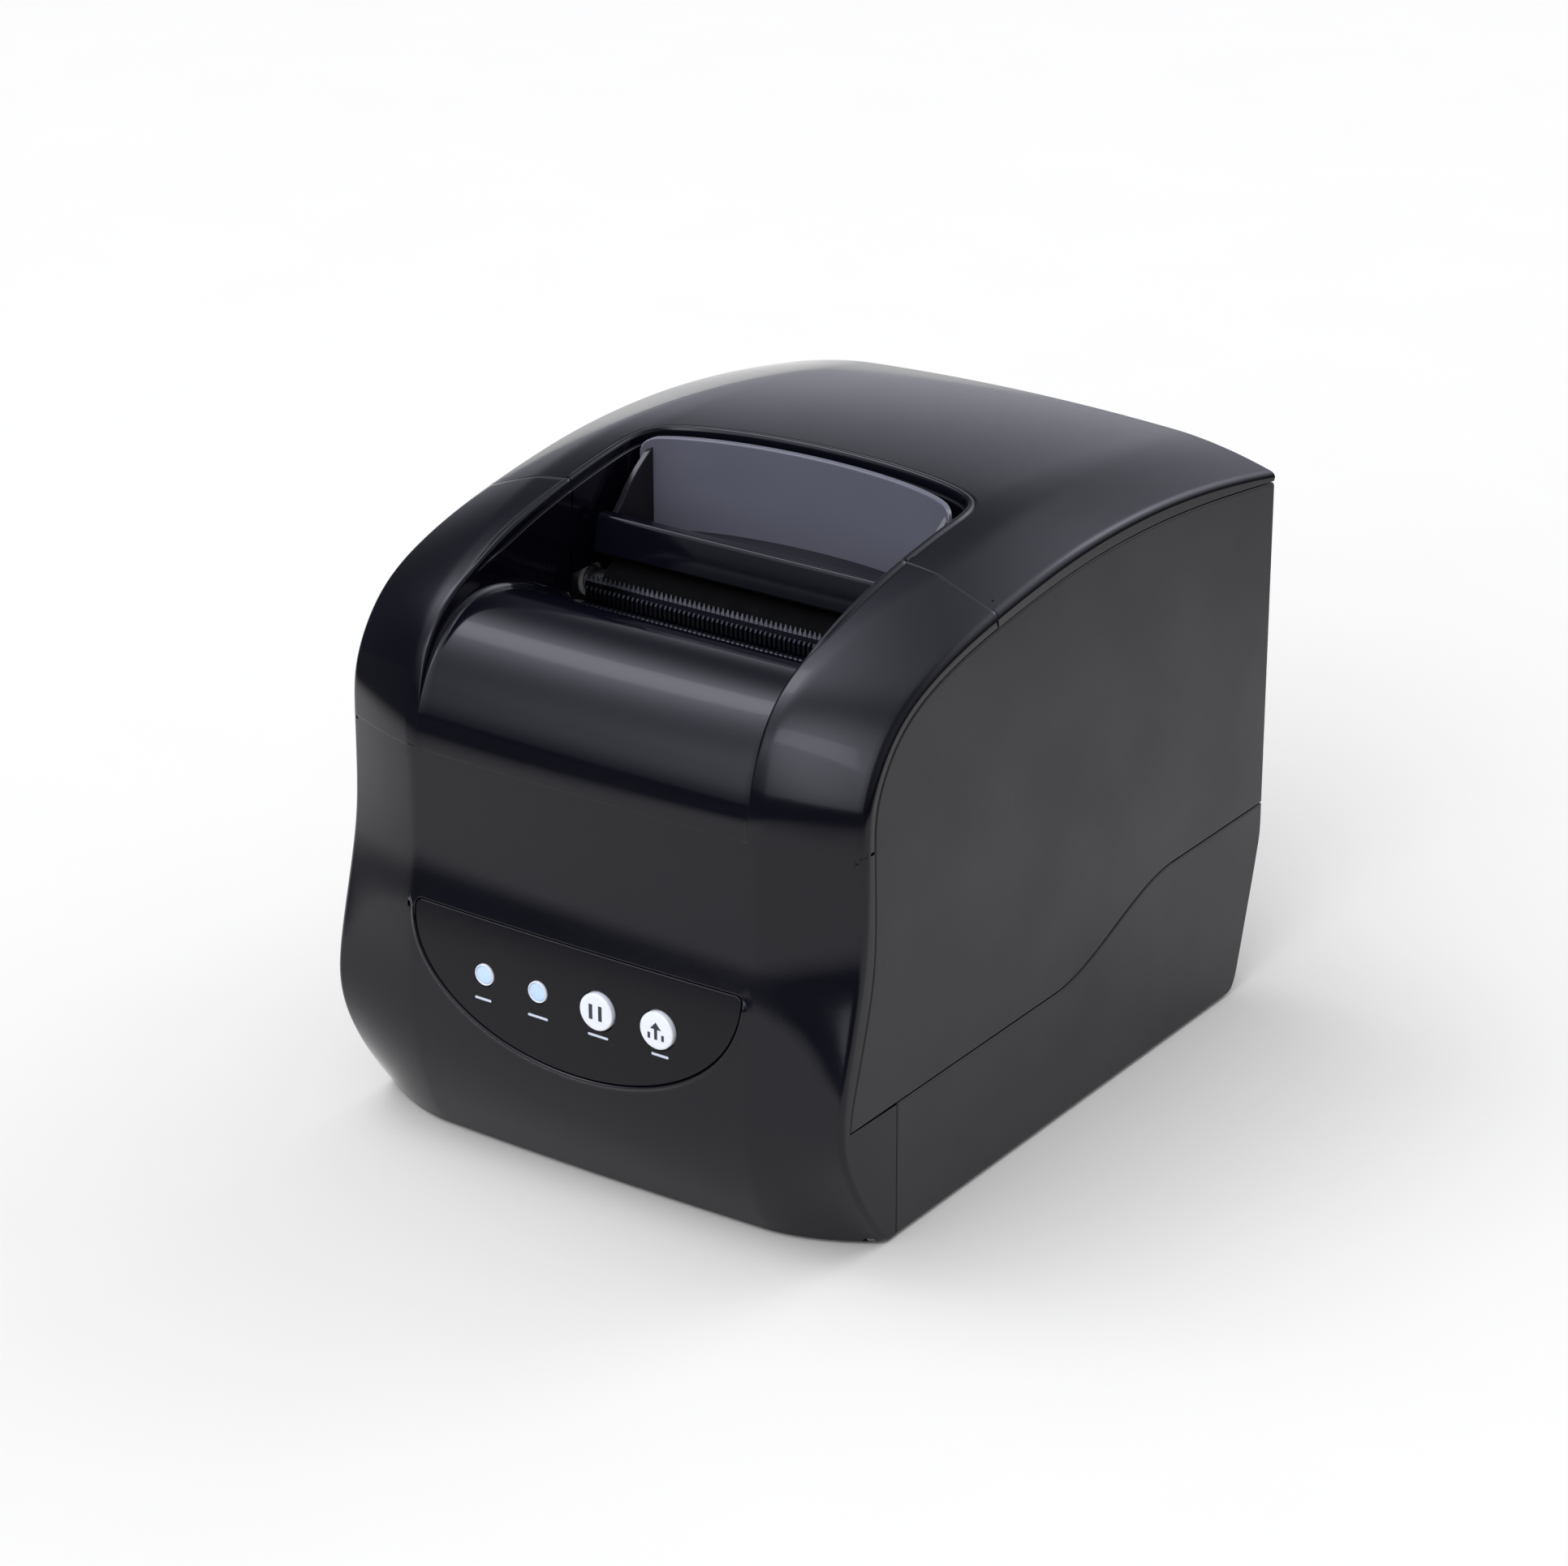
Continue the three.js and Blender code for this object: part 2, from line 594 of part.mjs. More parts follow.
// ---------- print head ----------
// Positions by the line of the paper: s along it towards the tear bar, n away from the platen.
const headAlong = [-Math.cos(HEAD_ANGLE), Math.sin(HEAD_ANGLE)];
const headAway = [-Math.sin(HEAD_ANGLE), -Math.cos(HEAD_ANGLE)];
const headPoint = (s, n) => [
  PLATEN.y + headAway[0] * (PLATEN.r + n) + headAlong[0] * s,
  PLATEN.z + headAway[1] * (PLATEN.r + n) + headAlong[1] * s,
];
function headBlock(s, n, x) {
  const near = [headPoint(s[0], n[0]), headPoint(s[1], n[0])];
  const far = [headPoint(s[1], n[1]), headPoint(s[0], n[1])];
  return prismX([...near, ...far], ...x);
}
piece('print_head', headBlock([-9.5, 2], [0.3, 1.3], [-44, 44]), CERAMIC());
const fins = [-36, -24, -12, 12, 24, 36].map((x) => headBlock([-9, 1], [4, 7], [x, x + 3]));
piece('head_heatsink', cut(headBlock([-10, 1.6], [1.6, 5.6], [-43, 43]), ...fins), ALUMINIUM());

function headBracket() {
  const end = CHASSIS_X[0] - 0.4;
  const web = headBlock([-6.5, 1], [10, 11.4], [-end, end]);
  const tabs = SIDES.map((s) => headBlock([-6.5, 1], [4, 10.5], span(s, end - 1.4, end)));
  return join(web, ...tabs);
}
piece('head_bracket', headBracket(), STEEL());

const SPRING_N = [6.35, 9.3]; // the springs' reach, clear of the heatsink when the head gives way
class Helix extends THREE.Curve {
  constructor(x, turns, r, length) {
    super();
    Object.assign(this, { x, turns, r, length });
  }

  getPoint(t) {
    const a = t * this.turns * 2 * Math.PI;
    const [y, z] = headPoint(-2.5 + this.r * Math.sin(a), SPRING_N[0] + t * this.length);
    return new THREE.Vector3(this.x + this.r * Math.cos(a), y, z);
  }
}

function headSpring(x) {
  const section = new THREE.Shape(circle(0, 0, 0.3, 5).map((p) => new THREE.Vector2(...p)));
  const route = new Helix(x, 4, 1.7, SPRING_N[1] - SPRING_N[0]);
  return solid(new THREE.ExtrudeGeometry(section, { steps: 28, extrudePath: route }));
}
piece('head_spring_left', headSpring(-30), STEEL());
piece('head_spring_right', headSpring(30), STEEL());
const sensorBody = headBlock([-19, -12.5], [0.6, 6], [-8, 8]);
const sensorGroove = headBlock([-17, -14.5], [-1, 2], [-9, 9]);
piece('gap_sensor', cut(sensorBody, sensorGroove), INNER());

// ---------- paper bin, chassis and guides ----------
function binOutline(r, frontTop, rearTop) {
  const points = [[BIN.y - r, frontTop]];
  const steps = 20;
  for (let i = 0; i <= steps; i += 1) {
    const a = Math.PI + (i / steps) * Math.PI;
    points.push([BIN.y + r * Math.cos(a), BIN.z + r * Math.sin(a)]);
  }
  points.push([BIN.y + r, rearTop]);
  return points;
}

// Each rack runs past the pinion, the left guide's in front of it and the right guide's behind it.
const RACK_PITCH_LINE = (RACK_MODULE * RACK_PINION_TEETH) / 2;
const stemY = (side) => {
  const [near, far] = span(side, RACK_PITCH_LINE + RACK_BACK[0], RACK_PITCH_LINE + RACK_BACK[1]);
  return [BIN.y + near, BIN.y + far];
};

function paperBin() {
  const outside = binOutline(BIN.r + BIN.wall, BIN.frontTop, BIN.rearTop);
  const inside = binOutline(BIN.r, BIN.frontTop + 1, BIN.rearTop + 1);
  const trough = cut(
    prismX(outside, -BIN.halfWidth, BIN.halfWidth),
    prismX(inside, -BIN.halfWidth + BIN.wall, BIN.halfWidth - BIN.wall),
  );
  const slots = SIDES.map((s) => {
    const x = span(s, GUIDE_X - GUIDE_TRAVEL - 1, 46);
    return box(x, wider(stemY(s), 0.5), [30, 45]);
  });
  return cut(trough, ...slots, box([-46, 46], [80, 86], FANFOLD_Z));
}
piece('paper_bin', paperBin(), INNER());

const GUIDE_OUTLINE = [
  [12, 44.2],
  [56, 44.2],
  [60, 52],
  [60, 84],
  [54, 98],
  [44, 105],
  [24, 105],
  [14, 98],
  [8, 84],
  [8, 52],
];

// The left guide with its rack; turned half round about the pinion's axis it is the right guide.
function paperGuide() {
  const x = [-GUIDE_X - GUIDE_PLATE, -GUIDE_X];
  const [back, front] = RACK_BACK.map((d) => -RACK_PITCH_LINE - d);
  const pitch = Math.PI * RACK_MODULE;
  const teeth = [];
  for (let k = -13; k <= 2; k += 1) {
    for (const share of [-0.27, -0.12, 0.12, 0.27]) {
      const tall = Math.abs(share) < 0.2 ? 0.8 : -1.2;
      teeth.push([(k + 0.5 + share) * pitch, -RACK_PITCH_LINE + tall]);
    }
  }
  const strip = [[x[0], front], [RACK_REACH, front], [RACK_REACH, back]];
  const ring = [...strip, ...teeth.reverse(), [x[0], back]];
  const plate = prismX(GUIDE_OUTLINE.map(([y, z]) => [y - BIN.y, z]), ...x);
  return join(plate, box(x, [front, back], [RACK_Z[0], 46]), prismZ(ring, ...RACK_Z));
}
piece('paper_guide_left', paperGuide().translate([0, BIN.y, 0]), INNER());
piece('paper_guide_right', paperGuide().rotate([0, 0, 180]).translate([0, BIN.y, 0]), INNER());
function guidePinion() {
  const wheel = prismZ(gearOutline(RACK_PINION_TEETH, RACK_MODULE, Math.PI / 2, 0, BIN.y), ...RACK_Z);
  return cut(wheel, rodZ(0, BIN.y, 2.3, 20, 40));
}
piece('guide_pinion', guidePinion(), NYLON());
piece('guide_pinion_post', join(rodZ(0, BIN.y, 2, 24.5, 35.2), rodZ(0, BIN.y, 4, 24.5, 28.4)), STEEL());

const CHASSIS_OUTLINE = [
  [-40, 3.4],
  [70, 3.4],
  [78, 30],
  [78, 118],
  [20, 124],
  [-8, 126],
  [-34, 126],
  [-38, 116],
  [-52, 100],
  [-52, 70],
  [-40, 60],
];
const CHASSIS_WINDOW = [
  [-20, 20],
  [60, 20],
  [66, 60],
  [60, 100],
  [10, 104],
  [-4, 70],
];
const CHASSIS_FEET_Y = [-30, 50];

function chassisPlate(side) {
  const x = span(side, ...CHASSIS_X);
  const through = wider(x, 1);
  const feet = CHASSIS_FEET_Y.map((y) => {
    const foot = box(span(side, CHASSIS_X[0], 64), [y - 6, y + 6], [3.4, 5]);
    return cut(foot, rodZ(side * SCREW_X, y, 1.9, 2, 6, 12));
  });
  // The platen drops into this notch from above as the lid shuts.
  const notchSides = [
    [PLATEN.y - BUSH_R - 0.4, PLATEN.z],
    [PLATEN.y + BUSH_R + 0.4, PLATEN.z],
    [-14, 130],
    [-32, 130],
  ];
  const notch = join(
    rodX(PLATEN.y, PLATEN.z, BUSH_R + 0.4, ...through),
    prismX(notchSides, ...through),
  );
  const plate = cut(
    join(prismX(CHASSIS_OUTLINE, ...x), ...feet),
    notch,
    prismX(CHASSIS_WINDOW, ...through),
  );
  if (side > 0) return plate;
  const axleHole = rodX(idlerCentre.x, idlerCentre.y, 2.3, ...through);
  return cut(plate, axleHole, rodX(pinionCentre.x, pinionCentre.y, 4, ...through));
}
piece('chassis_plate_left', chassisPlate(-1), STEEL());
piece('chassis_plate_right', chassisPlate(1), STEEL());

// ---------- side panels, rear cover and base ----------
function sidePanel(side) {
  const rows = [...stations(4.02, ROW_LID_SEAM, 22), ...stations(ROW_LID_SEAM + 0.5, LAST_ROW, 9)];
  const top = rows.map((r) => under(r, HALF_WIDTH, edgeWidth(r) + GAP).toArray());
  const seam = SEAM_Y.slice(1).reverse().map((y) => [y, seamHeight(y) + GAP / 2]);
  const outline = [...top, ...seam, [top[0][0], SEAM_Z + GAP / 2]].reverse();
  const x = span(side, HALF_WIDTH - WALL, HALF_WIDTH);
  return cut(prismX(outline, ...x), pivotRod(1.8, wider(x, 1)));
}
piece('side_panel_left', sidePanel(-1), SATIN());
piece('side_panel_right', sidePanel(1), SATIN());

function rearCover() {
  const inside = HALF_WIDTH - WALL - GAP;
  const wall = box([-inside, inside], [REAR - WALL, REAR], [seamHeight(REAR) + GAP / 2, 134.3]);
  const slot = box([-46, 46], [90, 96], FANFOLD_Z);
  const knuckles = SIDES.map((s) => {
    const x = span(s, ...CASE_KNUCKLE);
    const web = box(x, [REAR - WALL, REAR], [130, LID_PIVOT.z]);
    return cut(join(pivotRod(KNUCKLE_R, x), web), pivotRod(PIN_R + 0.2, wider(x, 1)));
  });
  const reliefs = SIDES.flatMap((s) =>
    LID_KNUCKLES.map((reach) => pivotRod(KNUCKLE_R + 0.5, wider(span(s, ...reach), 0.3))),
  );
  return join(cut(wall, slot, ...reliefs), ...knuckles);
}
piece('rear_cover', rearCover(), SATIN());
piece('hinge_pin_left', pivotRod(PIN_R, span(-1, 36.4, 55.6), 12), STEEL());
piece('hinge_pin_right', pivotRod(PIN_R, span(1, 36.4, 55.6), 12), STEEL());

const corners = (x, ys) => ys.flatMap((y) => SIDES.map((s) => [s * x, y]));
const FEET = corners(58, [-58, 66]);
const SCREWS = corners(SCREW_X, CHASSIS_FEET_Y);
const REAR_OUTLINE = [
  [REAR, 40],
  [91.8, 29.8],
  [86.9, 12.3],
  [84.2, 3],
  [82, 0],
];

function lowerBase() {
  const top = SEAM_Y.slice(1).map((y) => [y, seamHeight(y) - GAP / 2]);
  const front = BASE_FRONT + GAP / 2;
  const sideOutline = [[front, 0], [front, SEAM_Z - GAP / 2], ...top, ...REAR_OUTLINE].reverse();
  const sides = SIDES.map((s) => prismX(sideOutline, ...span(s, HALF_WIDTH - WALL, HALF_WIDTH)));
  const floorEnd = HALF_WIDTH - WALL + 0.2;
  const halfFloor = [
    [floorEnd, 80],
    [floorEnd, -71.6],
    [66, -76.6],
    [56, -80.6],
    [30, -83.6],
    [0, -84],
  ];
  const floor = prismZ(mirrored(halfFloor).reverse(), 0, 3);
  const rearTop = seamHeight(REAR) - GAP / 2;
  const rearInside = [
    [78, 0],
    [79.5, 3.4],
    [84.3, 13],
    [89.2, 30.4],
    [91.8, 40.2],
    [91.8, rearTop],
  ];
  const wallOutline = [[REAR, rearTop], ...REAR_OUTLINE, ...rearInside].reverse();
  const wall = prismX(wallOutline, -floorEnd, floorEnd);
  // The connectors' recess: a mouth through the rear wall with a collar round it.
  const mouth = box([-52, 52], [70, 99], MOUTH_Z);
  const outsideOutline = [[60, 1], [60, 45], [REAR, 45], ...REAR_OUTLINE.slice(0, -1)].reverse();
  const collar = cut(box([-54, 54], [82.2, 96], wider(MOUTH_Z, 2)), mouth);
  const fitted = collar.intersect(prismX(outsideOutline, -60, 60));
  const posts = [...corners(44, [-34]), ...corners(44, [60])].map(([x, y]) =>
    rodZ(x, y, 3, 2, BOARD_Z[0] - 0.3, 12),
  );
  const footWells = FEET.map(([x, y]) => rodZ(x, y, 6.3, -1, 1.2, 24));
  const screwHoles = SCREWS.flatMap(([x, y]) => [
    rodZ(x, y, 1.8, -1, 4, 12),
    rodZ(x, y, 3.4, -1, 1.9, 16),
  ]);
  const shell = cut(join(...sides, floor, wall), mouth);
  return cut(join(shell, fitted, ...posts), ...footWells, ...screwHoles);
}
piece('lower_base', lowerBase(), SATIN());
FEET.forEach(([x, y], i) => {
  const pad = rodZ(x, y, 6, -FOOT_HEIGHT + 0.3, 0.9, 24);
  piece(`foot_${i + 1}`, join(pad, rodZ(x, y, 5.6, -FOOT_HEIGHT, 0, 24)), RUBBER());
});
SCREWS.forEach(([x, y], i) => {
  const head = cut(rodZ(x, y, 3, 0.4, 1.6, 16), box([x - 0.5, x + 0.5], [y - 2, y + 2], [0, 0.9]));
  piece(`base_screw_${i + 1}`, join(head, rodZ(x, y, 1.5, 1.4, 8, 12)), STEEL());
});

// ---------- electronics at the back ----------
const roundHole = (r) => (x, z) => rodY(x, z, r, 72, 90);
const squareHole = (w, h) => (x, z) => box([x - w, x + w], [72, 90], [z - h, z + h]);
const SOCKETS = [
  { name: 'power_inlet', x: [-45, -31], z: [11.2, 25.2], hole: roundHole(5), material: INNER() },
  { name: 'cash_drawer_port', x: [-20, -5], z: [11.2, 25.2], hole: squareHole(5, 4), material: INNER() },
  { name: 'usb_port', x: [5, 17.4], z: [11.2, 22.2], hole: squareHole(4.4, 4), material: STEEL() },
];
SOCKETS.forEach(({ name, x, z, hole, material }) => {
  const shell = box(x, [66, 84], z);
  piece(name, cut(shell, hole((x[0] + x[1]) / 2, (z[0] + z[1]) / 2)), material);
});

const SWITCH = { x: [30, 45], z: [12, 32] };
function switchHousing() {
  const { x, z } = SWITCH;
  const flange = box(wider(x, 1.6), [82.1, 83.4], wider(z, 1.6));
  const cavity = box(wider(x, -1.6), [71, 90], wider(z, -1.6));
  return cut(join(box(x, [68, 82.5], z), flange), cavity);
}
piece('power_switch_housing', switchHousing(), INNER());
const ROCKER_PIVOT = { y: 79, z: (SWITCH.z[0] + SWITCH.z[1]) / 2 };
function rocker() {
  const tilt = THREE.MathUtils.degToRad(-9);
  const turn = ([y, z]) => [
    ROCKER_PIVOT.y + y * Math.cos(tilt) - z * Math.sin(tilt),
    ROCKER_PIVOT.z + y * Math.sin(tilt) + z * Math.cos(tilt),
  ];
  const outline = [
    [-4, -3],
    [1.2, -7.2],
    [5.6, -7.4],
    [4.4, 0],
    [5.6, 7.4],
    [1.2, 7.2],
    [-4, 3],
  ];
  return prismX(outline.map(turn), ...wider(SWITCH.x, -2));
}
piece('power_switch_rocker', rocker(), finish(0x19191b, 0.4));

function connectorPlate() {
  const plate = box([-54, 54], PLATE_Y, [8.6, 40]);
  const holes = [...SOCKETS, SWITCH].map(({ x, z }) => box(wider(x, 0.4), [70, 90], wider(z, 0.4)));
  return cut(plate, ...holes);
}
piece('connector_plate', connectorPlate(), STEEL());

function mainBoard() {
  const board = box([-50, 50], [-42, 79.8], BOARD_Z);
  const chip = box([-12, 12], [-8, 16], [BOARD_Z[1] - 0.3, 12.8]);
  const capPlaces = [
    [-36, 40],
    [-22, 44],
    [34, 20],
  ];
  const caps = capPlaces.map(([x, y]) => rodZ(x, y, 5, BOARD_Z[1] - 0.3, 23, 16));
  return join(board, chip, ...caps);
}
piece('main_board', mainBoard(), BOARD());

const printer = new THREE.Group();
printer.name = 'thermal_label_printer';
printer.position.set(0, GROUP_SHIFT_Y, FOOT_HEIGHT);
printer.add(...pieces);

export default printer;
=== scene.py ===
"""Looks of the thermal label printer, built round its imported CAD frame.

Outlines are in millimetres in the case's own drawing frame, where z = 0 is the case's lower edge,
and place() takes them to metres in the row frame. +X is right, +Y back, +Z up.
"""

import json
import math

import bmesh
import bpy
import numpy as np
from mathutils import Matrix, Vector
from mathutils.geometry import delaunay_2d_cdt

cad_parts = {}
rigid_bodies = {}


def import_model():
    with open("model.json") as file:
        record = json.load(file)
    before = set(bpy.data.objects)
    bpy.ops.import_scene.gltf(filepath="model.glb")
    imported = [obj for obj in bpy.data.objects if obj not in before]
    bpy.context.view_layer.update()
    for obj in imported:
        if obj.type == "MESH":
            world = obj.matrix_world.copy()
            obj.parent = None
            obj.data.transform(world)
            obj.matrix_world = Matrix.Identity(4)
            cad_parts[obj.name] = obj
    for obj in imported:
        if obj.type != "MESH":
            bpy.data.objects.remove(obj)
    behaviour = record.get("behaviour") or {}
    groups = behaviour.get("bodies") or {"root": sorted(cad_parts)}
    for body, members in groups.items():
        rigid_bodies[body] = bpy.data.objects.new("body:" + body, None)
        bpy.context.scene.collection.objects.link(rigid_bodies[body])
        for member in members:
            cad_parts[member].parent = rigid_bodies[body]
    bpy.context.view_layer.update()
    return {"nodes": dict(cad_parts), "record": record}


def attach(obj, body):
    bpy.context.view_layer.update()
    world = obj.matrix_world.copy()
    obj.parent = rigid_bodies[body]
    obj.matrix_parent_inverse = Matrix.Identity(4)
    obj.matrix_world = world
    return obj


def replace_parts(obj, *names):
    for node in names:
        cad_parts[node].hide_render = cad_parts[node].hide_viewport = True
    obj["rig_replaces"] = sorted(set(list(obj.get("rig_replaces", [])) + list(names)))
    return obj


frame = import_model()
SLOT_OF = {s["node"]: s["material_slot"] for s in frame["record"]["subparts"]}
BODIES = frame["record"]["behaviour"]["bodies"]
BODY_OF = {node: body for body, members in BODIES.items() for node in members}

MM = 0.001
SHIFT = np.array([0.0, 1.8, 1.0])  # from the case's drawing frame to the row frame, mm
HALF_WIDTH = 73.5
SHOULDER = 47.0
REAR = 94.4
GAP = 0.4
SIDE_WALL = 2.5
SEAM_Z = 34.0
SEAM_RISE = 14.3
BASE_FRONT = -72.0
RIM_RADIUS = 1.5
LID_PIVOT = (93.4, 135.9)

# Stations along the strap from the front foot over to the back: (y, z) at the rim, at the
# shoulder line and at the middle, then the width of the rim's edge.
ROWS = [
    [(-76.5, 0), (-87.2, 0), (-88, 0), 3],
    [(-81, 5.7), (-90.3, 5.7), (-91, 5.7), 3],
    [(-87, 14.3), (-93.9, 14.3), (-94.8, 14.3), 3],
    [(-92.6, 25), (-96.3, 25), (-97, 25), 3],
    [(-94.8, 35), (-97, 35), (-97.6, 35), 3.2],
    [(-93.3, 45), (-96.9, 45), (-97.7, 45), 4.2],
    [(-90, 57), (-96.6, 57), (-97.4, 57), 4.6],
    [(-86.9, 68.5), (-94.3, 68.5), (-95.1, 68.5), 4.6],
    [(-84.9, 80), (-93, 80), (-93.8, 80), 3.8],
    [(-84.8, 101.3), (-93.5, 101.3), (-94.3, 101.3), 3],
    [(-84.3, 110), (-92.3, 111), (-92.9, 111), 3],
    [(-82, 116.5), (-90.2, 119), (-90.8, 119.3), 3],
    [(-78, 122.8), (-87.5, 125.5), (-88, 126), 3],
    [(-72, 128.8), (-81, 132.6), (-81.5, 133.6), 3],
    [(-63, 133.7), (-70, 138.3), (-70.3, 139.6), 3],
    [(-49, 138), (-53, 144.3), (-53.2, 146), 3.2],
    [(-32.3, 141.2), (-33, 148.7), (-33, 150.5), 3.4],
    [(-8, 144.5), (-8, 152.3), (-8, 153.2), 3.8],
    [(15, 146), (15, 152.6), (15, 153.5), 4],
    [(45, 145.2), (45, 150.6), (45, 152), 4],
    [(75, 141.2), (75, 146.6), (75, 148.3), 3.4],
    [(REAR, 137.4), (REAR, 142.8), (REAR, 144.3), 2.4],
]
LAST_ROW = len(ROWS) - 1
# The crease between the strap's middle and its side bands: row, x, then the linear and the
# square share of the fall from shoulder to rim. What is left of 1 falls beyond the crease.
CREASE = [
    (0, 47.5, 0.0, 0.8),
    (4, 47.8, 0.0, 0.42),
    (9, 49.3, 0.0, 0.38),
    (10, 49.5, 0.0, 0.4),
    (12, 50.0, 0.03, 0.42),
    (13.3, 51.5, 0.12, 0.45),
    (15, 54.0, 0.2, 0.4),
    (16, 58.5, 0.25, 0.38),
    (17.5, 57.3, 0.27, 0.38),
    (18.5, 55.5, 0.3, 0.4),
    (20, 50.5, 0.38, 0.48),
    (21, 48.5, 0.42, 0.55),
]
PER_ROW = 48  # samples per row in the tables below


def sin_cos(degrees):
    a = math.radians(degrees)
    return math.sin(a), math.cos(a)


# ---------- the skin ----------
def catmull_rom(points, per_span):
    """A uniform Catmull-Rom curve through the points, sampled evenly in its parameter."""
    p = np.asarray(points, float)
    p = np.vstack([p[:1], p, p[-1:]])
    t = np.linspace(0, 1, per_span, endpoint=False)[:, None]
    spans = []
    for i in range(1, len(p) - 2):
        a, b, c, d = p[i - 1], p[i], p[i + 1], p[i + 2]
        v0, v1 = (c - a) / 2, (d - b) / 2
        cubic, square = 2 * b - 2 * c + v0 + v1, 3 * c - 3 * b - 2 * v0 - v1
        spans.append(cubic * t**3 + square * t**2 + v0 * t + b)
    return np.vstack([*spans, p[-2:-1]])


def smoothed(table, sigma):
    """The table's columns blurred along it, with both ends held in place."""
    reach = int(3 * sigma)
    kernel = np.exp(-0.5 * (np.arange(-reach, reach + 1) / sigma) ** 2)
    kernel /= kernel.sum()
    before = 2 * table[0] - table[reach:0:-1]
    after = 2 * table[-1] - table[-2 : -reach - 2 : -1]
    padded = np.vstack([before, table, after])
    return np.stack([np.convolve(padded[:, k], kernel, "valid") for k in range(table.shape[1])], 1)


ROW_TABLE = np.arange(LAST_ROW * PER_ROW + 1) / PER_ROW
OUTLINES = np.array([[*rim, *shoulder, *middle, edge] for rim, shoulder, middle, edge in ROWS])
SKIN_TABLE = smoothed(catmull_rom(OUTLINES, PER_ROW), 0.45 * PER_ROW)
crease_rows, *crease_columns = np.array(CREASE).T
even_creases = [np.interp(ROW_TABLE, crease_rows, column) for column in crease_columns]
CREASE_TABLE = smoothed(np.stack(even_creases, 1), 0.5 * PER_ROW)


def at_row(table, column, row):
    return np.interp(row, ROW_TABLE, table[:, column])


def edge_width(row):
    return at_row(SKIN_TABLE, 6, row)


def skin(row, x):
    """(y, z) of the outer skin at a row and an x."""
    row, x = np.broadcast_arrays(np.asarray(row, float), np.asarray(x, float))
    a = np.abs(x)
    inner = (np.minimum(a, SHOULDER) / SHOULDER) ** 2
    width = HALF_WIDTH - SHOULDER
    s = np.maximum(a - SHOULDER, 0) / width
    crease = (at_row(CREASE_TABLE, 0, row) - SHOULDER) / width
    linear, square = at_row(CREASE_TABLE, 1, row), at_row(CREASE_TABLE, 2, row)
    soft = 0.8 / width  # rounding of the crease

    def ramp(u):
        return (np.sqrt(u * u + soft * soft) + u) / 2

    beyond = (ramp(s - crease) - ramp(-crease)) / (ramp(1 - crease) - ramp(-crease))
    fall = linear * s + square * s * s + (1 - linear - square) * beyond
    out = []
    for k in (0, 1):
        rim, shoulder, middle = (at_row(SKIN_TABLE, k + j, row) for j in (0, 2, 4))
        out.append(middle + (shoulder - middle) * inner + (rim - shoulder) * fall)
    return np.stack(out, -1)


def skin_normal(row, x):
    """The skin's outward normal within the (y, z) plane."""
    d = 0.04
    along = skin(np.minimum(row + d, LAST_ROW), x) - skin(np.maximum(row - d, 0), x)
    along /= np.linalg.norm(along, axis=-1, keepdims=True)
    return np.stack([-along[..., 1], along[..., 0]], -1)


def under(row, x, depth):
    """(y, z) at a depth below the skin."""
    return skin(row, x) - skin_normal(row, x) * np.asarray(depth)[..., None]


def solve_row(x, value, component, low, high):
    """The row between low and high where the skin's y (0) or z (1) has the given value."""
    x, value = np.broadcast_arrays(np.asarray(x, float), np.asarray(value, float))
    lo, hi = np.full(x.shape, float(low)), np.full(x.shape, float(high))
    for _ in range(26):
        mid = (lo + hi) / 2
        over = skin(mid, x)[..., component] > value
        hi, lo = np.where(over, mid, hi), np.where(over, lo, mid)
    return (lo + hi) / 2


def front_y(x, z):
    """The front cover's y at an x and a z."""
    return skin(solve_row(x, z, 1, 0, 10.5), x)[..., 0]


def lid_z(x, y):
    """The lid's z at an x and a y."""
    return skin(solve_row(x, y, 0, 14.5, LAST_ROW), x)[..., 1]


# ---------- meshes ----------
def place(points):
    return (np.asarray(points, float) + SHIFT) * MM


def made(name, shape, body, slot, *nodes, paint=None):
    """A piece from (points, faces) in the drawing frame, riding on a body and standing for nodes.

    It wears its slot's own material unless another paint is named.
    """
    points, faces = shape
    mesh = bpy.data.meshes.new(name)
    mesh.from_pydata([tuple(p) for p in place(points)], [], [tuple(int(i) for i in f) for f in faces])
    bm = bmesh.new()
    bm.from_mesh(mesh)
    bmesh.ops.remove_doubles(bm, verts=bm.verts, dist=1e-6)
    bmesh.ops.dissolve_degenerate(bm, edges=bm.edges, dist=1e-7)
    bmesh.ops.recalc_face_normals(bm, faces=bm.faces)
    bm.to_mesh(mesh)
    bm.free()
    return dressed(name, mesh, paint or slot, body, nodes)


def in_scene(name, data):
    obj = bpy.data.objects.new(name, data)
    bpy.context.scene.collection.objects.link(obj)
    return obj


def dressed(name, mesh, paint, body, nodes, angle=32.0):
    mesh.shade_smooth()
    mesh.set_sharp_from_angle(angle=math.radians(angle))
    mesh.materials.clear()
    mesh.materials.append(PAINT[paint])
    obj = in_scene(name, mesh)
    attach(obj, body)
    if nodes:
        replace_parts(obj, *nodes)
    return obj


def strips(first, second, closed=True):
    """Quads between two rows of vertex indices."""
    n = len(first)
    return [
        (first[i], first[(i + 1) % n], second[(i + 1) % n], second[i])
        for i in range(n if closed else n - 1)
    ]


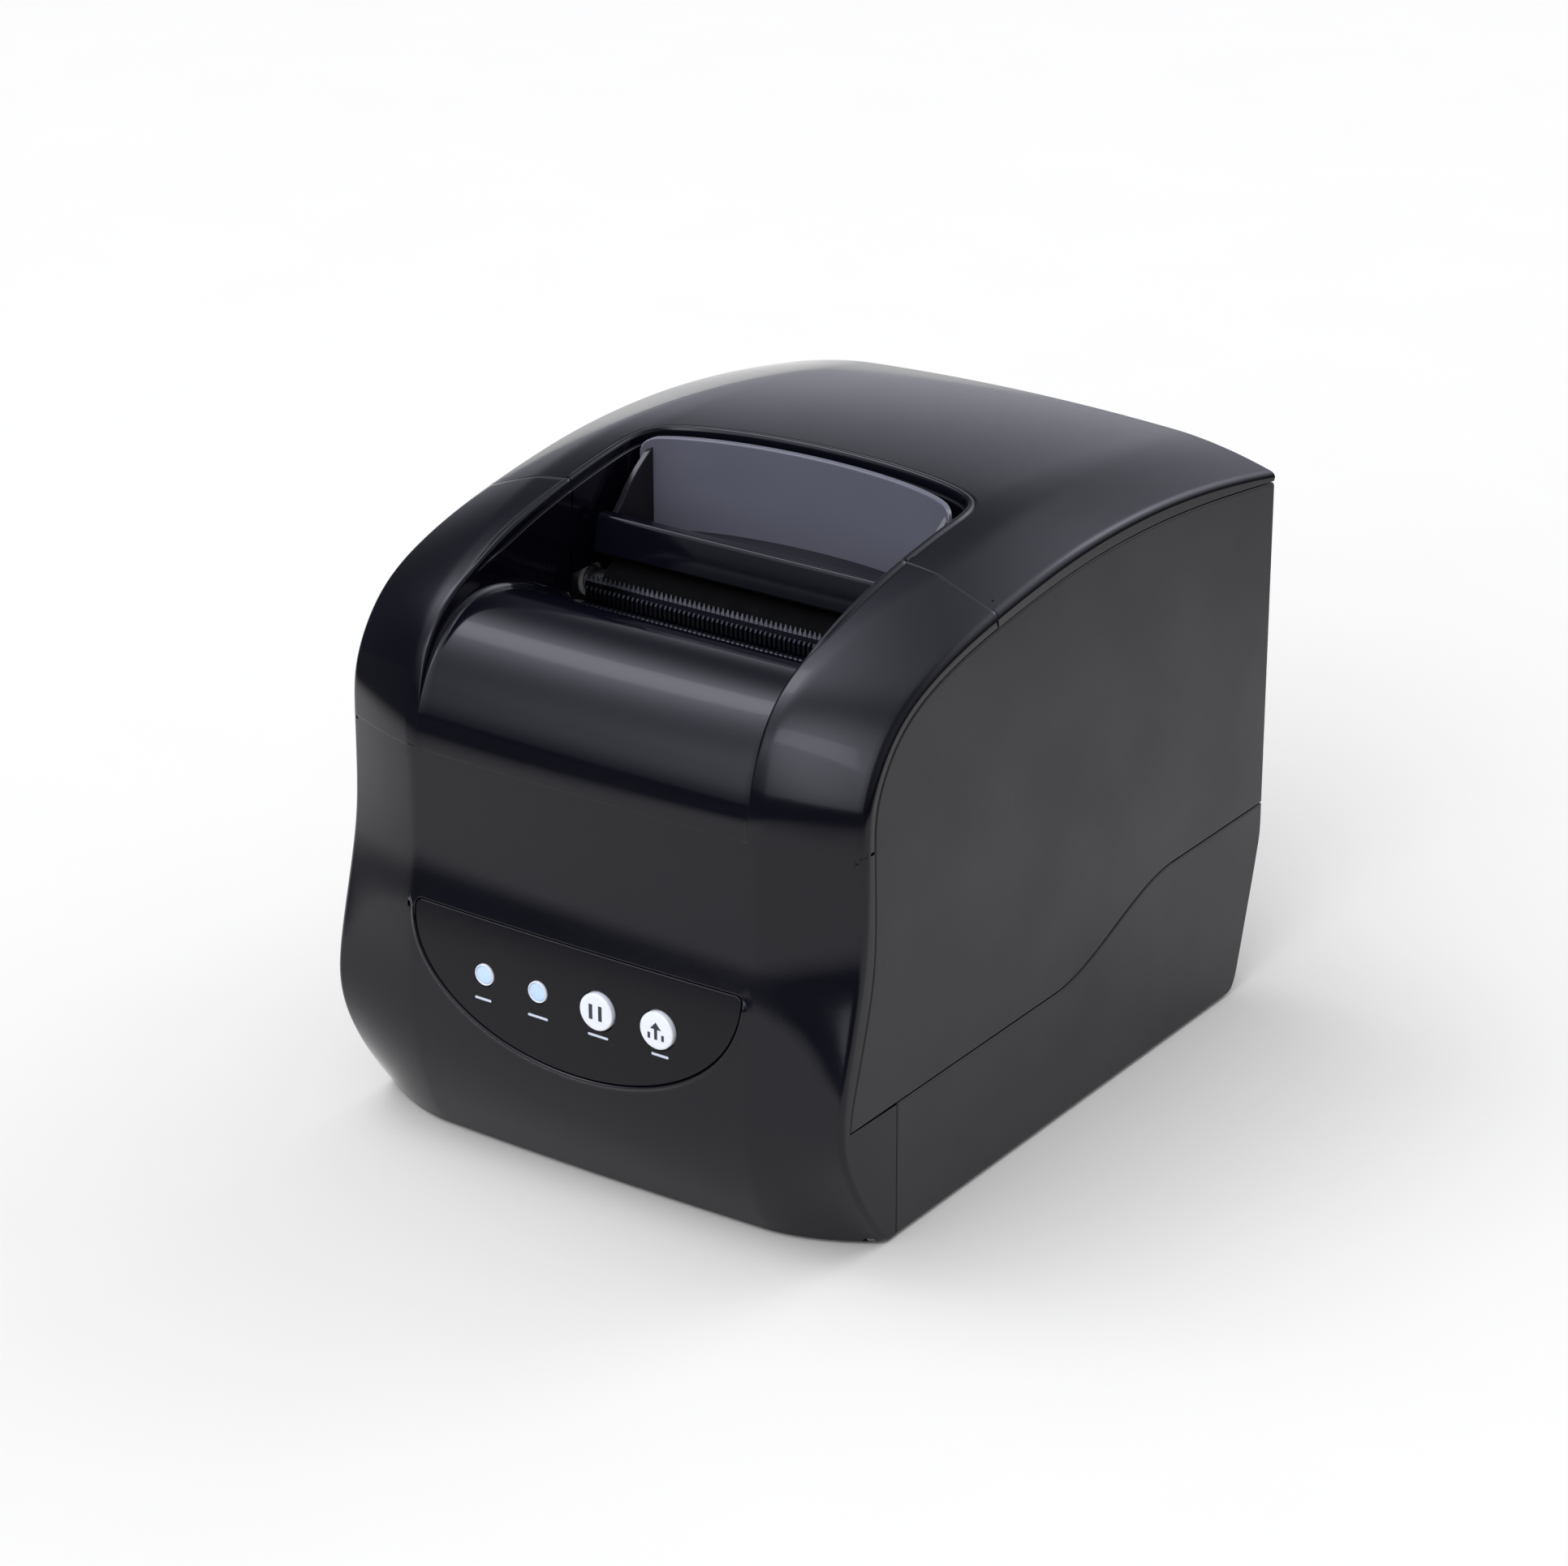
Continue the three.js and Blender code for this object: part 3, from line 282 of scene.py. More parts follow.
def between(outer, inner):
    """A closed solid between two grids of points with the same rows and columns."""
    rows, cols = outer.shape[:2]
    points = np.concatenate([outer.reshape(-1, 3), inner.reshape(-1, 3)])
    o = np.arange(rows * cols).reshape(rows, cols)
    n = o + rows * cols
    faces = []
    for i in range(rows - 1):
        faces += strips(o[i], o[i + 1], closed=False)
        faces += [f[::-1] for f in strips(n[i], n[i + 1], closed=False)]
    border = np.concatenate([o[0], o[1:, -1], o[-1, -2::-1], o[-2:0:-1, 0]])
    faces += strips(border, border + rows * cols)
    return points, faces


def lathe(profile, centre, axis="y", segments=64):
    """A closed turned solid from (radius, along) pairs that start and end on the axis."""
    points, faces = [], []
    a = np.linspace(0, 2 * np.pi, segments, endpoint=False)
    for r, h in profile:
        c, s = r * np.cos(a), r * np.sin(a)
        level = np.full(segments, h)
        rim = {"x": (level, c, s), "y": (c, level, s), "z": (c, s, level)}
        points.append(np.stack(rim[axis], 1) + np.asarray(centre, float))
    for k in range(len(profile) - 1):
        i = np.arange(segments) + k * segments
        faces += strips(i, i + segments)
    faces.append(tuple(range(segments)))
    faces.append(tuple(range((len(profile) - 1) * segments, len(profile) * segments)))
    return np.concatenate(points), faces


def joined(*parts):
    """Several (points, faces) put into one."""
    points, faces, start = [], [], 0
    for p, f in parts:
        points.append(np.asarray(p, float))
        faces += [tuple(i + start for i in face) for face in f]
        start += len(p)
    return np.concatenate(points), faces


def arc(centre, radius, start, stop, count):
    a = np.radians(np.linspace(start, stop, count))
    return np.stack([centre[0] + radius * np.cos(a), centre[1] + radius * np.sin(a)], 1)


def resampled(points, spacing, closed=False):
    """A polyline with its corners kept and its long spans divided."""
    p = np.asarray(points, float)
    if closed:
        p = np.vstack([p, p[:1]])
    out = []
    for a, b in zip(p[:-1], p[1:]):
        n = max(1, int(math.ceil(np.linalg.norm(b - a) / spacing)))
        out.append(a + (b - a) * np.linspace(0, 1, n, endpoint=False)[:, None])
    return np.vstack(out if closed else [*out, p[-1:]])


def leftward(loop):
    """At each corner of a closed loop, the mitred offset direction to its left."""
    ahead = np.roll(loop, -1, 0) - loop
    ahead /= np.linalg.norm(ahead, axis=1, keepdims=True)
    behind = np.roll(ahead, 1, 0)
    turned = np.stack([-ahead[:, 1], ahead[:, 0]], 1)
    bisector = turned + np.stack([-behind[:, 1], behind[:, 0]], 1)
    bisector /= np.linalg.norm(bisector, axis=1, keepdims=True)
    cosine = np.maximum(np.sum(bisector * turned, 1), 0.5)
    return bisector / cosine[:, None]


def filled(loops, spacing, seed_inset, ridge=()):
    """Triangles that fill a region whose loops run with the region on their left.

    Points on a ridge are kept as corners, so that a crease there stays sharp.
    """
    edges, start = [], 0
    for loop in loops:
        n = len(loop)
        edges += [(start + i, start + (i + 1) % n) for i in range(n)]
        start += n
    border = np.vstack(loops)
    low, high = border.min(0), border.max(0)
    nx, ny = (np.ceil((high - low) / spacing)).astype(int)
    gx, gy = np.meshgrid(np.arange(nx + 1), np.arange(ny + 1), indexing="ij")
    staggered = low[0] + (gx + 0.5 * (gy % 2)) * spacing
    seeds = np.stack([staggered, low[1] + gy * spacing * 0.95], -1).reshape(-1, 2)
    seeds = seeds[inside(seeds, loops)]
    if len(ridge):
        ridge = np.asarray(ridge, float)[inside(np.asarray(ridge, float), loops)]
        ridge = ridge[[np.min(np.sum((border - r) ** 2, 1)) > 0.3**2 for r in ridge]]
        seeds = seeds[[np.min(np.sum((ridge - s) ** 2, 1)) > (0.5 * spacing) ** 2 for s in seeds]]
    clear = np.array([np.min(np.sum((border - s) ** 2, 1)) > seed_inset**2 for s in seeds])
    seeds = seeds[clear]
    every = np.vstack([border, *([ridge] if len(ridge) else []), seeds])
    verts, _, tris, *_ = delaunay_2d_cdt([Vector(p) for p in every], edges, [], 0, 1e-7)
    flat = np.array([tuple(v) for v in verts])
    tris = np.array([t for t in tris if len(t) == 3])
    keep = inside(flat[tris].mean(1), loops)
    return flat, tris[keep], len(border)


def inside(points, loops):
    """Which points lie in the region bounded by the loops."""
    x, y = points[:, 0], points[:, 1]
    odd = np.zeros(len(points), bool)
    for loop in loops:
        a, b = loop, np.roll(loop, -1, 0)
        for (x0, y0), (x1, y1) in zip(a, b):
            if y0 == y1:
                continue
            crosses = (y0 > y) != (y1 > y)
            odd ^= crosses & (x < (x1 - x0) * (y - y0) / (y1 - y0) + x0)
    return odd


def shell(loops, raise_to, thickness, wall, spacing, ridge=()):
    """A closed shell over a flat region.

    Each loop is (outline, profile, bottom, inner bottom): the profile gives, for each of its
    corners, (distance in from the outline, drop below the surface) pairs from the inside out, and
    the two bottoms are 3-D points where the wall ends. raise_to(flat, drop) gives 3-D points.
    """
    insets = []
    for outline, profile, _, _ in loops:
        insets.append(outline + leftward(outline) * profile[:, 0, 0][:, None])
    flat, tris, count = filled(insets, spacing, spacing * 0.6, ridge)
    top = raise_to(flat, 0.0)
    low = raise_to(flat, thickness)
    points = [top, low]
    total = 2 * len(flat)
    faces = [tuple(t) for t in tris] + [tuple(t[::-1] + len(flat)) for t in tris]
    start = 0
    for outline, profile, bottom, inner_bottom in loops:
        n = len(outline)
        direction = leftward(outline)
        ring = np.arange(n) + start
        inner_ring = ring + len(flat)
        for k in range(1, profile.shape[1]):
            spot = outline + direction * profile[:, k, 0][:, None]
            points.append(raise_to(spot, profile[:, k, 1]))
            fresh = np.arange(n) + total
            faces += strips(ring, fresh)
            ring, total = fresh, total + n
        inner = raise_to(outline + direction * wall, thickness)
        for extra in (bottom, inner_bottom, inner):
            points.append(extra)
            fresh = np.arange(n) + total
            faces += strips(ring, fresh)
            ring, total = fresh, total + n
        faces += strips(ring, inner_ring)
        start += n
    return np.vstack(points), faces


def fillet(radius, reach, steps=7):
    """Profile of a rounded edge: (distance in, drop) pairs from reach out to the edge itself."""
    out = [(reach, 0.0), (radius + 0.25, 0.0)]
    for a in np.linspace(0, 90, steps):
        s, c = sin_cos(a)
        out.append((radius * (1 - s), radius * (1 - c)))
    return out


def stretched(profile, count):
    """The same profile with its last pair repeated a little deeper until it has count pairs."""
    out = list(profile)
    while len(out) < count:
        out.append((out[-1][0], out[-1][1] + 0.02))
    return out


def round_loop(outline, radius, thickness, out):
    """A loop for shell() with a rounded outer edge and an even wall below it."""
    profile = np.repeat(np.array([fillet(radius, radius + 0.6, 5)]), len(outline), 0)
    inner = out(outline + leftward(outline) * 0.8, thickness)
    return outline, profile, out(outline, thickness), inner


# ---------- materials ----------
def fresh(nodes, kind, values=(), operation=None):
    """A new node with its operation and its inputs' values set."""
    node = nodes.new(kind)
    if operation:
        node.operation = operation
    for socket, value in dict(values).items():
        node.inputs[socket].default_value = value
    return node


def noise(nodes, links, scale, detail, stretch=None):
    """A noise texture on the object's own coordinates."""
    source = nodes.new("ShaderNodeTexCoord").outputs["Object"]
    if stretch:
        mapping = fresh(nodes, "ShaderNodeMapping", {"Scale": stretch})
        links.new(source, mapping.inputs["Vector"])
        source = mapping.outputs["Vector"]
    texture = fresh(nodes, "ShaderNodeTexNoise", {"Scale": scale, "Detail": detail})
    links.new(source, texture.inputs["Vector"])
    return texture.outputs["Fac"]


def ranged(nodes, links, source, low, high, out_low, out_high):
    limits = {"From Min": low, "From Max": high, "To Min": out_low, "To Max": out_high}
    node = fresh(nodes, "ShaderNodeMapRange", limits)
    links.new(source, node.inputs["Value"])
    return node.outputs["Result"]


def surface(name, base, rough, spread, tint, patch, grain, depth, stretch, fixed):
    """A moulded or ground surface.

    Its roughness varies by spread and its colour by tint, in patches of about 1/patch metres. A
    fine grain of 1/grain metres stands in its normals with strength depth. stretch draws the
    pattern out along an axis, as brushing does.
    """
    material = bpy.data.materials.new(name)
    material.use_nodes = True
    material.diffuse_color = (*base, 1)
    nodes, links = material.node_tree.nodes, material.node_tree.links
    principled = nodes["Principled BSDF"]
    fixed = {"Base Color": (*base, 1), "Roughness": rough, **fixed}
    for socket, value in fixed.items():
        principled.inputs[socket].default_value = value
    clouds = noise(nodes, links, patch, 4.0, stretch)
    patches = ranged(nodes, links, clouds, 0.3, 0.7, rough * (1 - spread), rough * (1 + spread))
    links.new(patches, principled.inputs["Roughness"])
    mix = nodes.new("ShaderNodeMix")
    mix.data_type = "RGBA"
    mix.inputs["A"].default_value = (*[c * (1 - tint) for c in base], 1)
    mix.inputs["B"].default_value = (*[min(1.0, c * (1 + tint)) for c in base], 1)
    links.new(noise(nodes, links, patch * 1.7, 2.0, stretch), mix.inputs["Factor"])
    links.new(mix.outputs["Result"], principled.inputs["Base Color"])
    bump = fresh(nodes, "ShaderNodeBump", {"Strength": depth, "Distance": 0.0002})
    links.new(noise(nodes, links, grain, 2.0, stretch), bump.inputs["Height"])
    links.new(bump.outputs["Normal"], principled.inputs["Normal"])
    return material


# name: colour, roughness, spread, tint, patch, grain, depth, stretch, then fixed inputs
SURFACES = {
    "gloss_shell": ((0.0026, 0.0028, 0.0056), 0.1, 0.25, 0.2, 28, 420, 0.02, None, {"IOR": 1.38}),
    "satin_shell": (
        (0.0145, 0.0142, 0.0166), 0.42, 0.1, 0.06, 30, 2400, 0.16, None,
        {"Specular IOR Level": 0.36},
    ),
    "panel_overlay": ((0.0022, 0.0022, 0.0042), 0.3, 0.15, 0.1, 40, 1500, 0.05, None, {"IOR": 1.32}),
    # The pane's light grey is partly the smoked plastic's tint and partly painted reflection of the lit
    # inside; the wings wear the same smoke darkened as painted shade.
    "smoked_window": (
        (0.13, 0.13, 0.155), 0.22, 0.2, 0.08, 22, 600, 0.02, None,
        {"Transmission Weight": 0.05},
    ),
    "smoked_wing_painted_shade": ((0.010, 0.010, 0.013), 0.16, 0.2, 0.08, 22, 600, 0.02, None, {"IOR": 1.4}),
    "lamp_lens": (
        (0.62, 0.75, 0.90), 0.28, 0.2, 0.04, 300, 3000, 0.05, None,
        {"Subsurface Weight": 0.2},
    ),
    "key_cap": ((0.80, 0.82, 0.84), 0.3, 0.2, 0.03, 250, 3000, 0.05, None, {"Coat Weight": 0.3}),
    "inner_plastic": ((0.011, 0.011, 0.012), 0.5, 0.15, 0.15, 60, 1800, 0.25, None, {}),
    "tear_steel": ((0.045, 0.047, 0.060), 0.3, 0.3, 0.2, 160, 1400, 0.1, (1, 30, 1), {"Metallic": 1.0}),
    # The teeth wear the tear bar's steel made lighter: a painted highlight on their tips.
    "tooth_steel_painted_highlight": ((0.42, 0.43, 0.47), 0.26, 0.2, 0.1, 160, 1400, 0.05, None, {"Metallic": 1.0}),
    "steel": ((0.56, 0.57, 0.58), 0.3, 0.3, 0.08, 90, 900, 0.1, (1, 18, 1), {"Metallic": 1.0}),
    "motor_can": ((0.03, 0.03, 0.033), 0.38, 0.2, 0.1, 90, 1500, 0.15, None, {}),
    "aluminium": ((0.42, 0.43, 0.44), 0.36, 0.25, 0.07, 90, 1200, 0.2, (14, 1, 1), {"Metallic": 1.0}),
    "ceramic": ((0.62, 0.58, 0.50), 0.2, 0.2, 0.05, 90, 1200, 0.05, None, {}),
    "brass": ((0.62, 0.43, 0.16), 0.28, 0.25, 0.1, 200, 1500, 0.1, None, {"Metallic": 1.0}),
    "nylon": ((0.66, 0.64, 0.58), 0.45, 0.15, 0.05, 90, 1500, 0.1, None, {"Subsurface Weight": 0.1}),
    # Black rubber's own colour, darkened further as painted shade so that the platen roller deep in the
    # case reads black.
    "rubber": (
        (0.0035, 0.0035, 0.0037), 0.85, 0.12, 0.2, 200, 2200, 0.4, None,
        {"Specular IOR Level": 0.08},
    ),
    "circuit_board": ((0.018, 0.10, 0.045), 0.35, 0.25, 0.25, 320, 1400, 0.15, None, {}),
    "mark": ((0.02, 0.021, 0.026), 0.45, 0.15, 0.1, 300, 2500, 0.08, None, {}),
    "print": ((0.58, 0.62, 0.68), 0.5, 0.15, 0.06, 300, 2500, 0.08, None, {}),
}  # fmt: skip
PAINT = {name: surface(name, *numbers, fixed) for name, (*numbers, fixed) in SURFACES.items()}


# ---------- lower front cover ----------
PANEL_HALF, PANEL_TOP, PANEL_DROP = 47.0, 63.0, 32.3
PANEL_CORNER = 1.6


def panel_outline(grow):
    """The half oval with rounded upper corners, anticlockwise in (x, z)."""
    half, r = PANEL_HALF + grow, PANEL_CORNER
    centre_z = PANEL_TOP - r
    a = np.linspace(np.pi, 2 * np.pi, 110)
    oval = np.stack([half * np.cos(a), centre_z + (PANEL_DROP - r + grow) * np.sin(a)], 1)
    top = PANEL_TOP + grow
    right = arc((half - r, top - r), r, 0, 90, 9)
    left = arc((r - half, top - r), r, 90, 180, 9)
    edge = resampled([right[-1], left[0]], 1.5)
    return np.vstack([oval[1:-1], right, edge[1:-1], left])


def smoothstep(low, high, v):
    t = np.clip((np.asarray(v, float) - low) / (high - low), 0, 1)
    return t * t * (3 - 2 * t)


BEAD = [
    (2.6, 0), (1.6, 0), (1.32, -0.04), (1.08, -0.18), (0.84, -0.38),
    (0.58, -0.5), (0.32, -0.46), (0.12, -0.24), (0.0, 0.2),
]  # fmt: skip


def raise_front(offset):
    def go(flat, drop):
        return np.stack([flat[:, 0], front_y(flat[:, 0], flat[:, 1]) + drop + offset, flat[:, 1]], 1)

    return go


def crease_ridge(rows):
    """(x, z) points on and beside the front's two creases."""
    points = []
    for row in rows:
        crease = float(at_row(CREASE_TABLE, 0, row))
        for off in (-1.6, -0.7, 0.0, 0.7, 1.6):
            z = float(skin(row, crease + off)[1])
            points += [(crease + off, z), (-crease - off, z)]
    return points


def lower_front():
    """The waved front with the panel's recess, its sides wrapping round to the base."""
    top, seam = 100.95, SEAM_Z - GAP / 2
    below, above = np.arange(0, seam - 0.4, 1.3), np.arange(seam + 1, top - 0.7, 1.3)
    heights = np.concatenate([below, [seam - 0.03, seam + 0.03], above, [top]])
    across = np.linspace(-HALF_WIDTH, HALF_WIDTH, 101)[1:-1]
    right = np.stack([np.full(len(heights), HALF_WIDTH), heights], 1)
    left = right[::-1] * [-1, 1]
    upper = np.stack([across[::-1], np.full(99, top)], 1)
    lower = np.stack([across, np.zeros(99)], 1)
    outline = np.vstack([right, upper, left, lower])
    on_side = np.abs(outline[:, 0]) > HALF_WIDTH - 0.01
    rounded, crisp = np.array(fillet(RIM_RADIUS, 2.6)), np.array(fillet(0.15, 2.6))
    profile = np.where(on_side[:, None, None], rounded, crisp)
    raised = raise_front(0)
    inward = leftward(outline) * SIDE_WALL
    bottom = raised(outline, 3.0)
    inner = raised(outline + inward, 3.0)
    row = solve_row(HALF_WIDTH, outline[:, 1], 1, 0, 10.5)
    edge = under(row, HALF_WIDTH, edge_width(row))
    wraps = outline[:, 1] < seam
    side_y = np.where(wraps, BASE_FRONT - GAP / 2, edge[:, 0])
    side_z = np.where(wraps, outline[:, 1], np.minimum(edge[:, 1], top))
    outer_x = outline[:, 0]
    inner_x = outer_x - np.sign(outer_x) * SIDE_WALL
    for target, x in ((bottom, outer_x), (inner, inner_x)):
        target[on_side] = np.stack([x, side_y, side_z], 1)[on_side]
    hole = panel_outline(0.18)[::-1]
    share = (1 - smoothstep(60.5, 63, hole[:, 1]))[:, None, None]
    hole_profile = share * np.array(BEAD) + (1 - share) * np.array(fillet(0.2, 2.6))
    hole_bottom = raised(hole, 3.0)
    hole_inner = raised(hole + leftward(hole) * SIDE_WALL, 3.0)
    loops = [(outline, profile, bottom, inner), (hole, hole_profile, hole_bottom, hole_inner)]
    return shell(loops, raised, 2.6, SIDE_WALL, 1.6, crease_ridge(np.arange(0.15, 8.95, 0.09)))


made("front_cover_lower_skin", lower_front(), "case", "gloss_shell", "front_cover_lower")

# ---------- control panel ----------
LAMPS = {"online_lamp": -25.5, "error_lamp": -9.7}
KEYS = {"pause_button": 7.8, "feed_button": 24.9}
KEY_Z = 49.5
DASH_Z, DASH_REACH = 43.1, 2.6
KEY_R, LAMP_R = 4.7, 2.7
PLATE_PROUD = 0.22


def circle_hole(x, z, radius, count):
    return arc((x, z), radius, 0, -360, count + 1)[:-1]


def panel_plate():
    """The half-oval plate with holes for the lamps and the keys."""
    raised = raise_front(-PLATE_PROUD)
    holes = [circle_hole(x, KEY_Z, LAMP_R + 0.15, 40) for x in LAMPS.values()]
    holes += [circle_hole(x, KEY_Z, KEY_R + 0.3, 56) for x in KEYS.values()]
    loops = [round_loop(panel_outline(0), 0.3, 2.0, raised)]
    loops += [round_loop(hole, 0.22, 2.0, raised) for hole in holes]
    return shell(loops, raised, 2.0, 0.8, 1.5)


made("control_panel_plate", panel_plate(), "case", "panel_overlay", "control_panel")


def dome(radius, face, rise, edge, skirt):
    """Profile of a round cap that faces the front: flat middle, rounded edge, straight skirt."""
    out = [(radius * f, face + rise * f * f) for f in (0.02, 0.3, 0.6)]
    last = face + rise
    for a in np.linspace(0, 90, 8):
        s, c = sin_cos(a)
        out.append((radius - edge + edge * s, last + edge * (1 - c)))
    return [*out, (radius, skirt)]


def flat_mark(outline, face, depth=0.06):
    """A thin printed or moulded mark on a front-facing surface: an (x, z) outline made solid."""
    n = len(outline)
    front = np.stack([outline[:, 0], np.full(n, face - depth), outline[:, 1]], 1)
    back = front + [0, depth + 0.2, 0]
    i = np.arange(n)
    return np.vstack([front, back]), [tuple(i), tuple(i + n), *strips(i, i + n)]


# The lamp's ring: (distance out from its rim, distance behind the plate's face).
LAMP_RING = [(-0.36, 2), (-0.36, -0.1), (-0.26, -0.26), (-0.1, -0.24), (0, -0.05), (0, 2)]
for name, x in LAMPS.items():
    level = float(front_y(x, KEY_Z)) - PLATE_PROUD
    lens = lathe(dome(LAMP_R - 0.42, level - 0.28, 0.12, 0.3, level + 4), (x, 0, KEY_Z))
    made(name + "_lens", lens, "case", "lamp_lens", name)
    ring = [(LAMP_R + out, level + back) for out, back in LAMP_RING]
    made(name + "_ring", lathe(ring, (x, 0, KEY_Z)), "case", "key_cap")



def bar_mark(x0, x1, z0, z1):
    return np.array([[x0, z0], [x1, z0], [x1, z1], [x0, z1]])


ARROW = [[-0.42, -2.1], [0.42, -2.1], [0.42, 0.5], [1.55, 0.5], [0, 2.25], [-1.55, 0.5], [-0.42, 0.5]]
ICON = {
    "pause_button": [bar_mark(-1.85, -0.85, -1.9, 1.9), bar_mark(0.85, 1.85, -1.9, 1.9)],
    "feed_button": [
        np.array(ARROW),
        bar_mark(-2.3, -1.6, -2.1, -0.6),
        bar_mark(1.6, 2.3, -2.1, -0.6),
    ],
}
for name, x in KEYS.items():
    level = float(front_y(x, KEY_Z)) - PLATE_PROUD
    body = BODY_OF[name]
    face = level - 0.95
    cap = lathe(dome(KEY_R, face, 0.0, 0.55, -92.0), (x, 0, KEY_Z))
    made(name + "_cap", cap, body, "key_cap", name)
    icon = joined(*[flat_mark(o + [x, KEY_Z], face) for o in ICON[name]])
    made(name + "_icon", icon, body, "key_cap", paint="mark")

for name, x in {**LAMPS, **KEYS}.items():
    right_end = arc((x + DASH_REACH, DASH_Z), 0.32, -90, 90, 7)
    left_end = arc((x - DASH_REACH, DASH_Z), 0.32, 90, 270, 7)
    dash = np.vstack([right_end, left_end])
    level = float(front_y(x, DASH_Z)) - PLATE_PROUD
    mark = flat_mark(dash, level + 0.02, 0.05)
    made(name + "_dash", mark, "case", "panel_overlay", paint="print")

# ---------- upper front cover ----------
ROLL = [
    (-94.3, 101.75), (-93.4, 108), (-91.2, 114.8), (-88, 120.6), (-83.5, 125.5),
    (-77, 129.5), (-68, 131.4), (-57.5, 129.9), (-46, 125), (-35.2, 119.6),
]  # fmt: skip
ROLL_TABLE = smoothed(catmull_rom(ROLL, PER_ROW), 0.4 * PER_ROW)
ROLL_AT_ROW = [(9, 0), (10, 1.4), (11, 2.55), (12, 3.45), (13, 4.6), (14, 6), (15, 7.6), (16, 9)]
WALL_X = 47.0
FRONT_WALL = 2.6
LIP = [
    (2.9, 0), (2.4, 0), (2.22, 0.06), (2.1, 0.2), (1.95, 0.2), (1.8, 0.02),
    (1.6, -0.2), (1.25, -0.36), (0.9, -0.4), (0.55, -0.3), (0.28, -0.08), (0.1, 0.25),
    (0, 0.7), (0, 2.3), (-0.5, 2.42), (-0.65, 2.6), (-0.65, 4),
]  # fmt: skip
PLAIN_EDGE = [
    (2.9, 0), (1.6, 0), (1.2, 0), (0.98, 0.01), (0.82, 0.04), (0.66, 0.09),
    (0.5, 0.16), (0.37, 0.25), (0.26, 0.35), (0.17, 0.46), (0.09, 0.6), (0.03, 0.75),
    (0, 0.95), (0, 1.3), (0, 1.5), (0, 1.7), (0, 2),
]  # fmt: skip


def roll_point(row, x):
    """(y, z) of the rolled front between the arms: it leaves the strap's skin at the seam."""
    rows, places = zip(*ROLL_AT_ROW)
    at = np.interp(row, rows, places)
    t = np.arange(len(ROLL_TABLE)) / PER_ROW
    rolled = np.stack([np.interp(at, t, ROLL_TABLE[:, k]) for k in (0, 1)], -1)
    crown = 0.7 * (np.abs(x) / SHOULDER) ** 2 * (1 - smoothstep(2.5, 6, at))
    rolled = rolled + np.stack([crown, crown * 0], -1)
    share = smoothstep(9.0, 10.6, row)[..., None]
    return skin(row, x) * (1 - share) + rolled * share


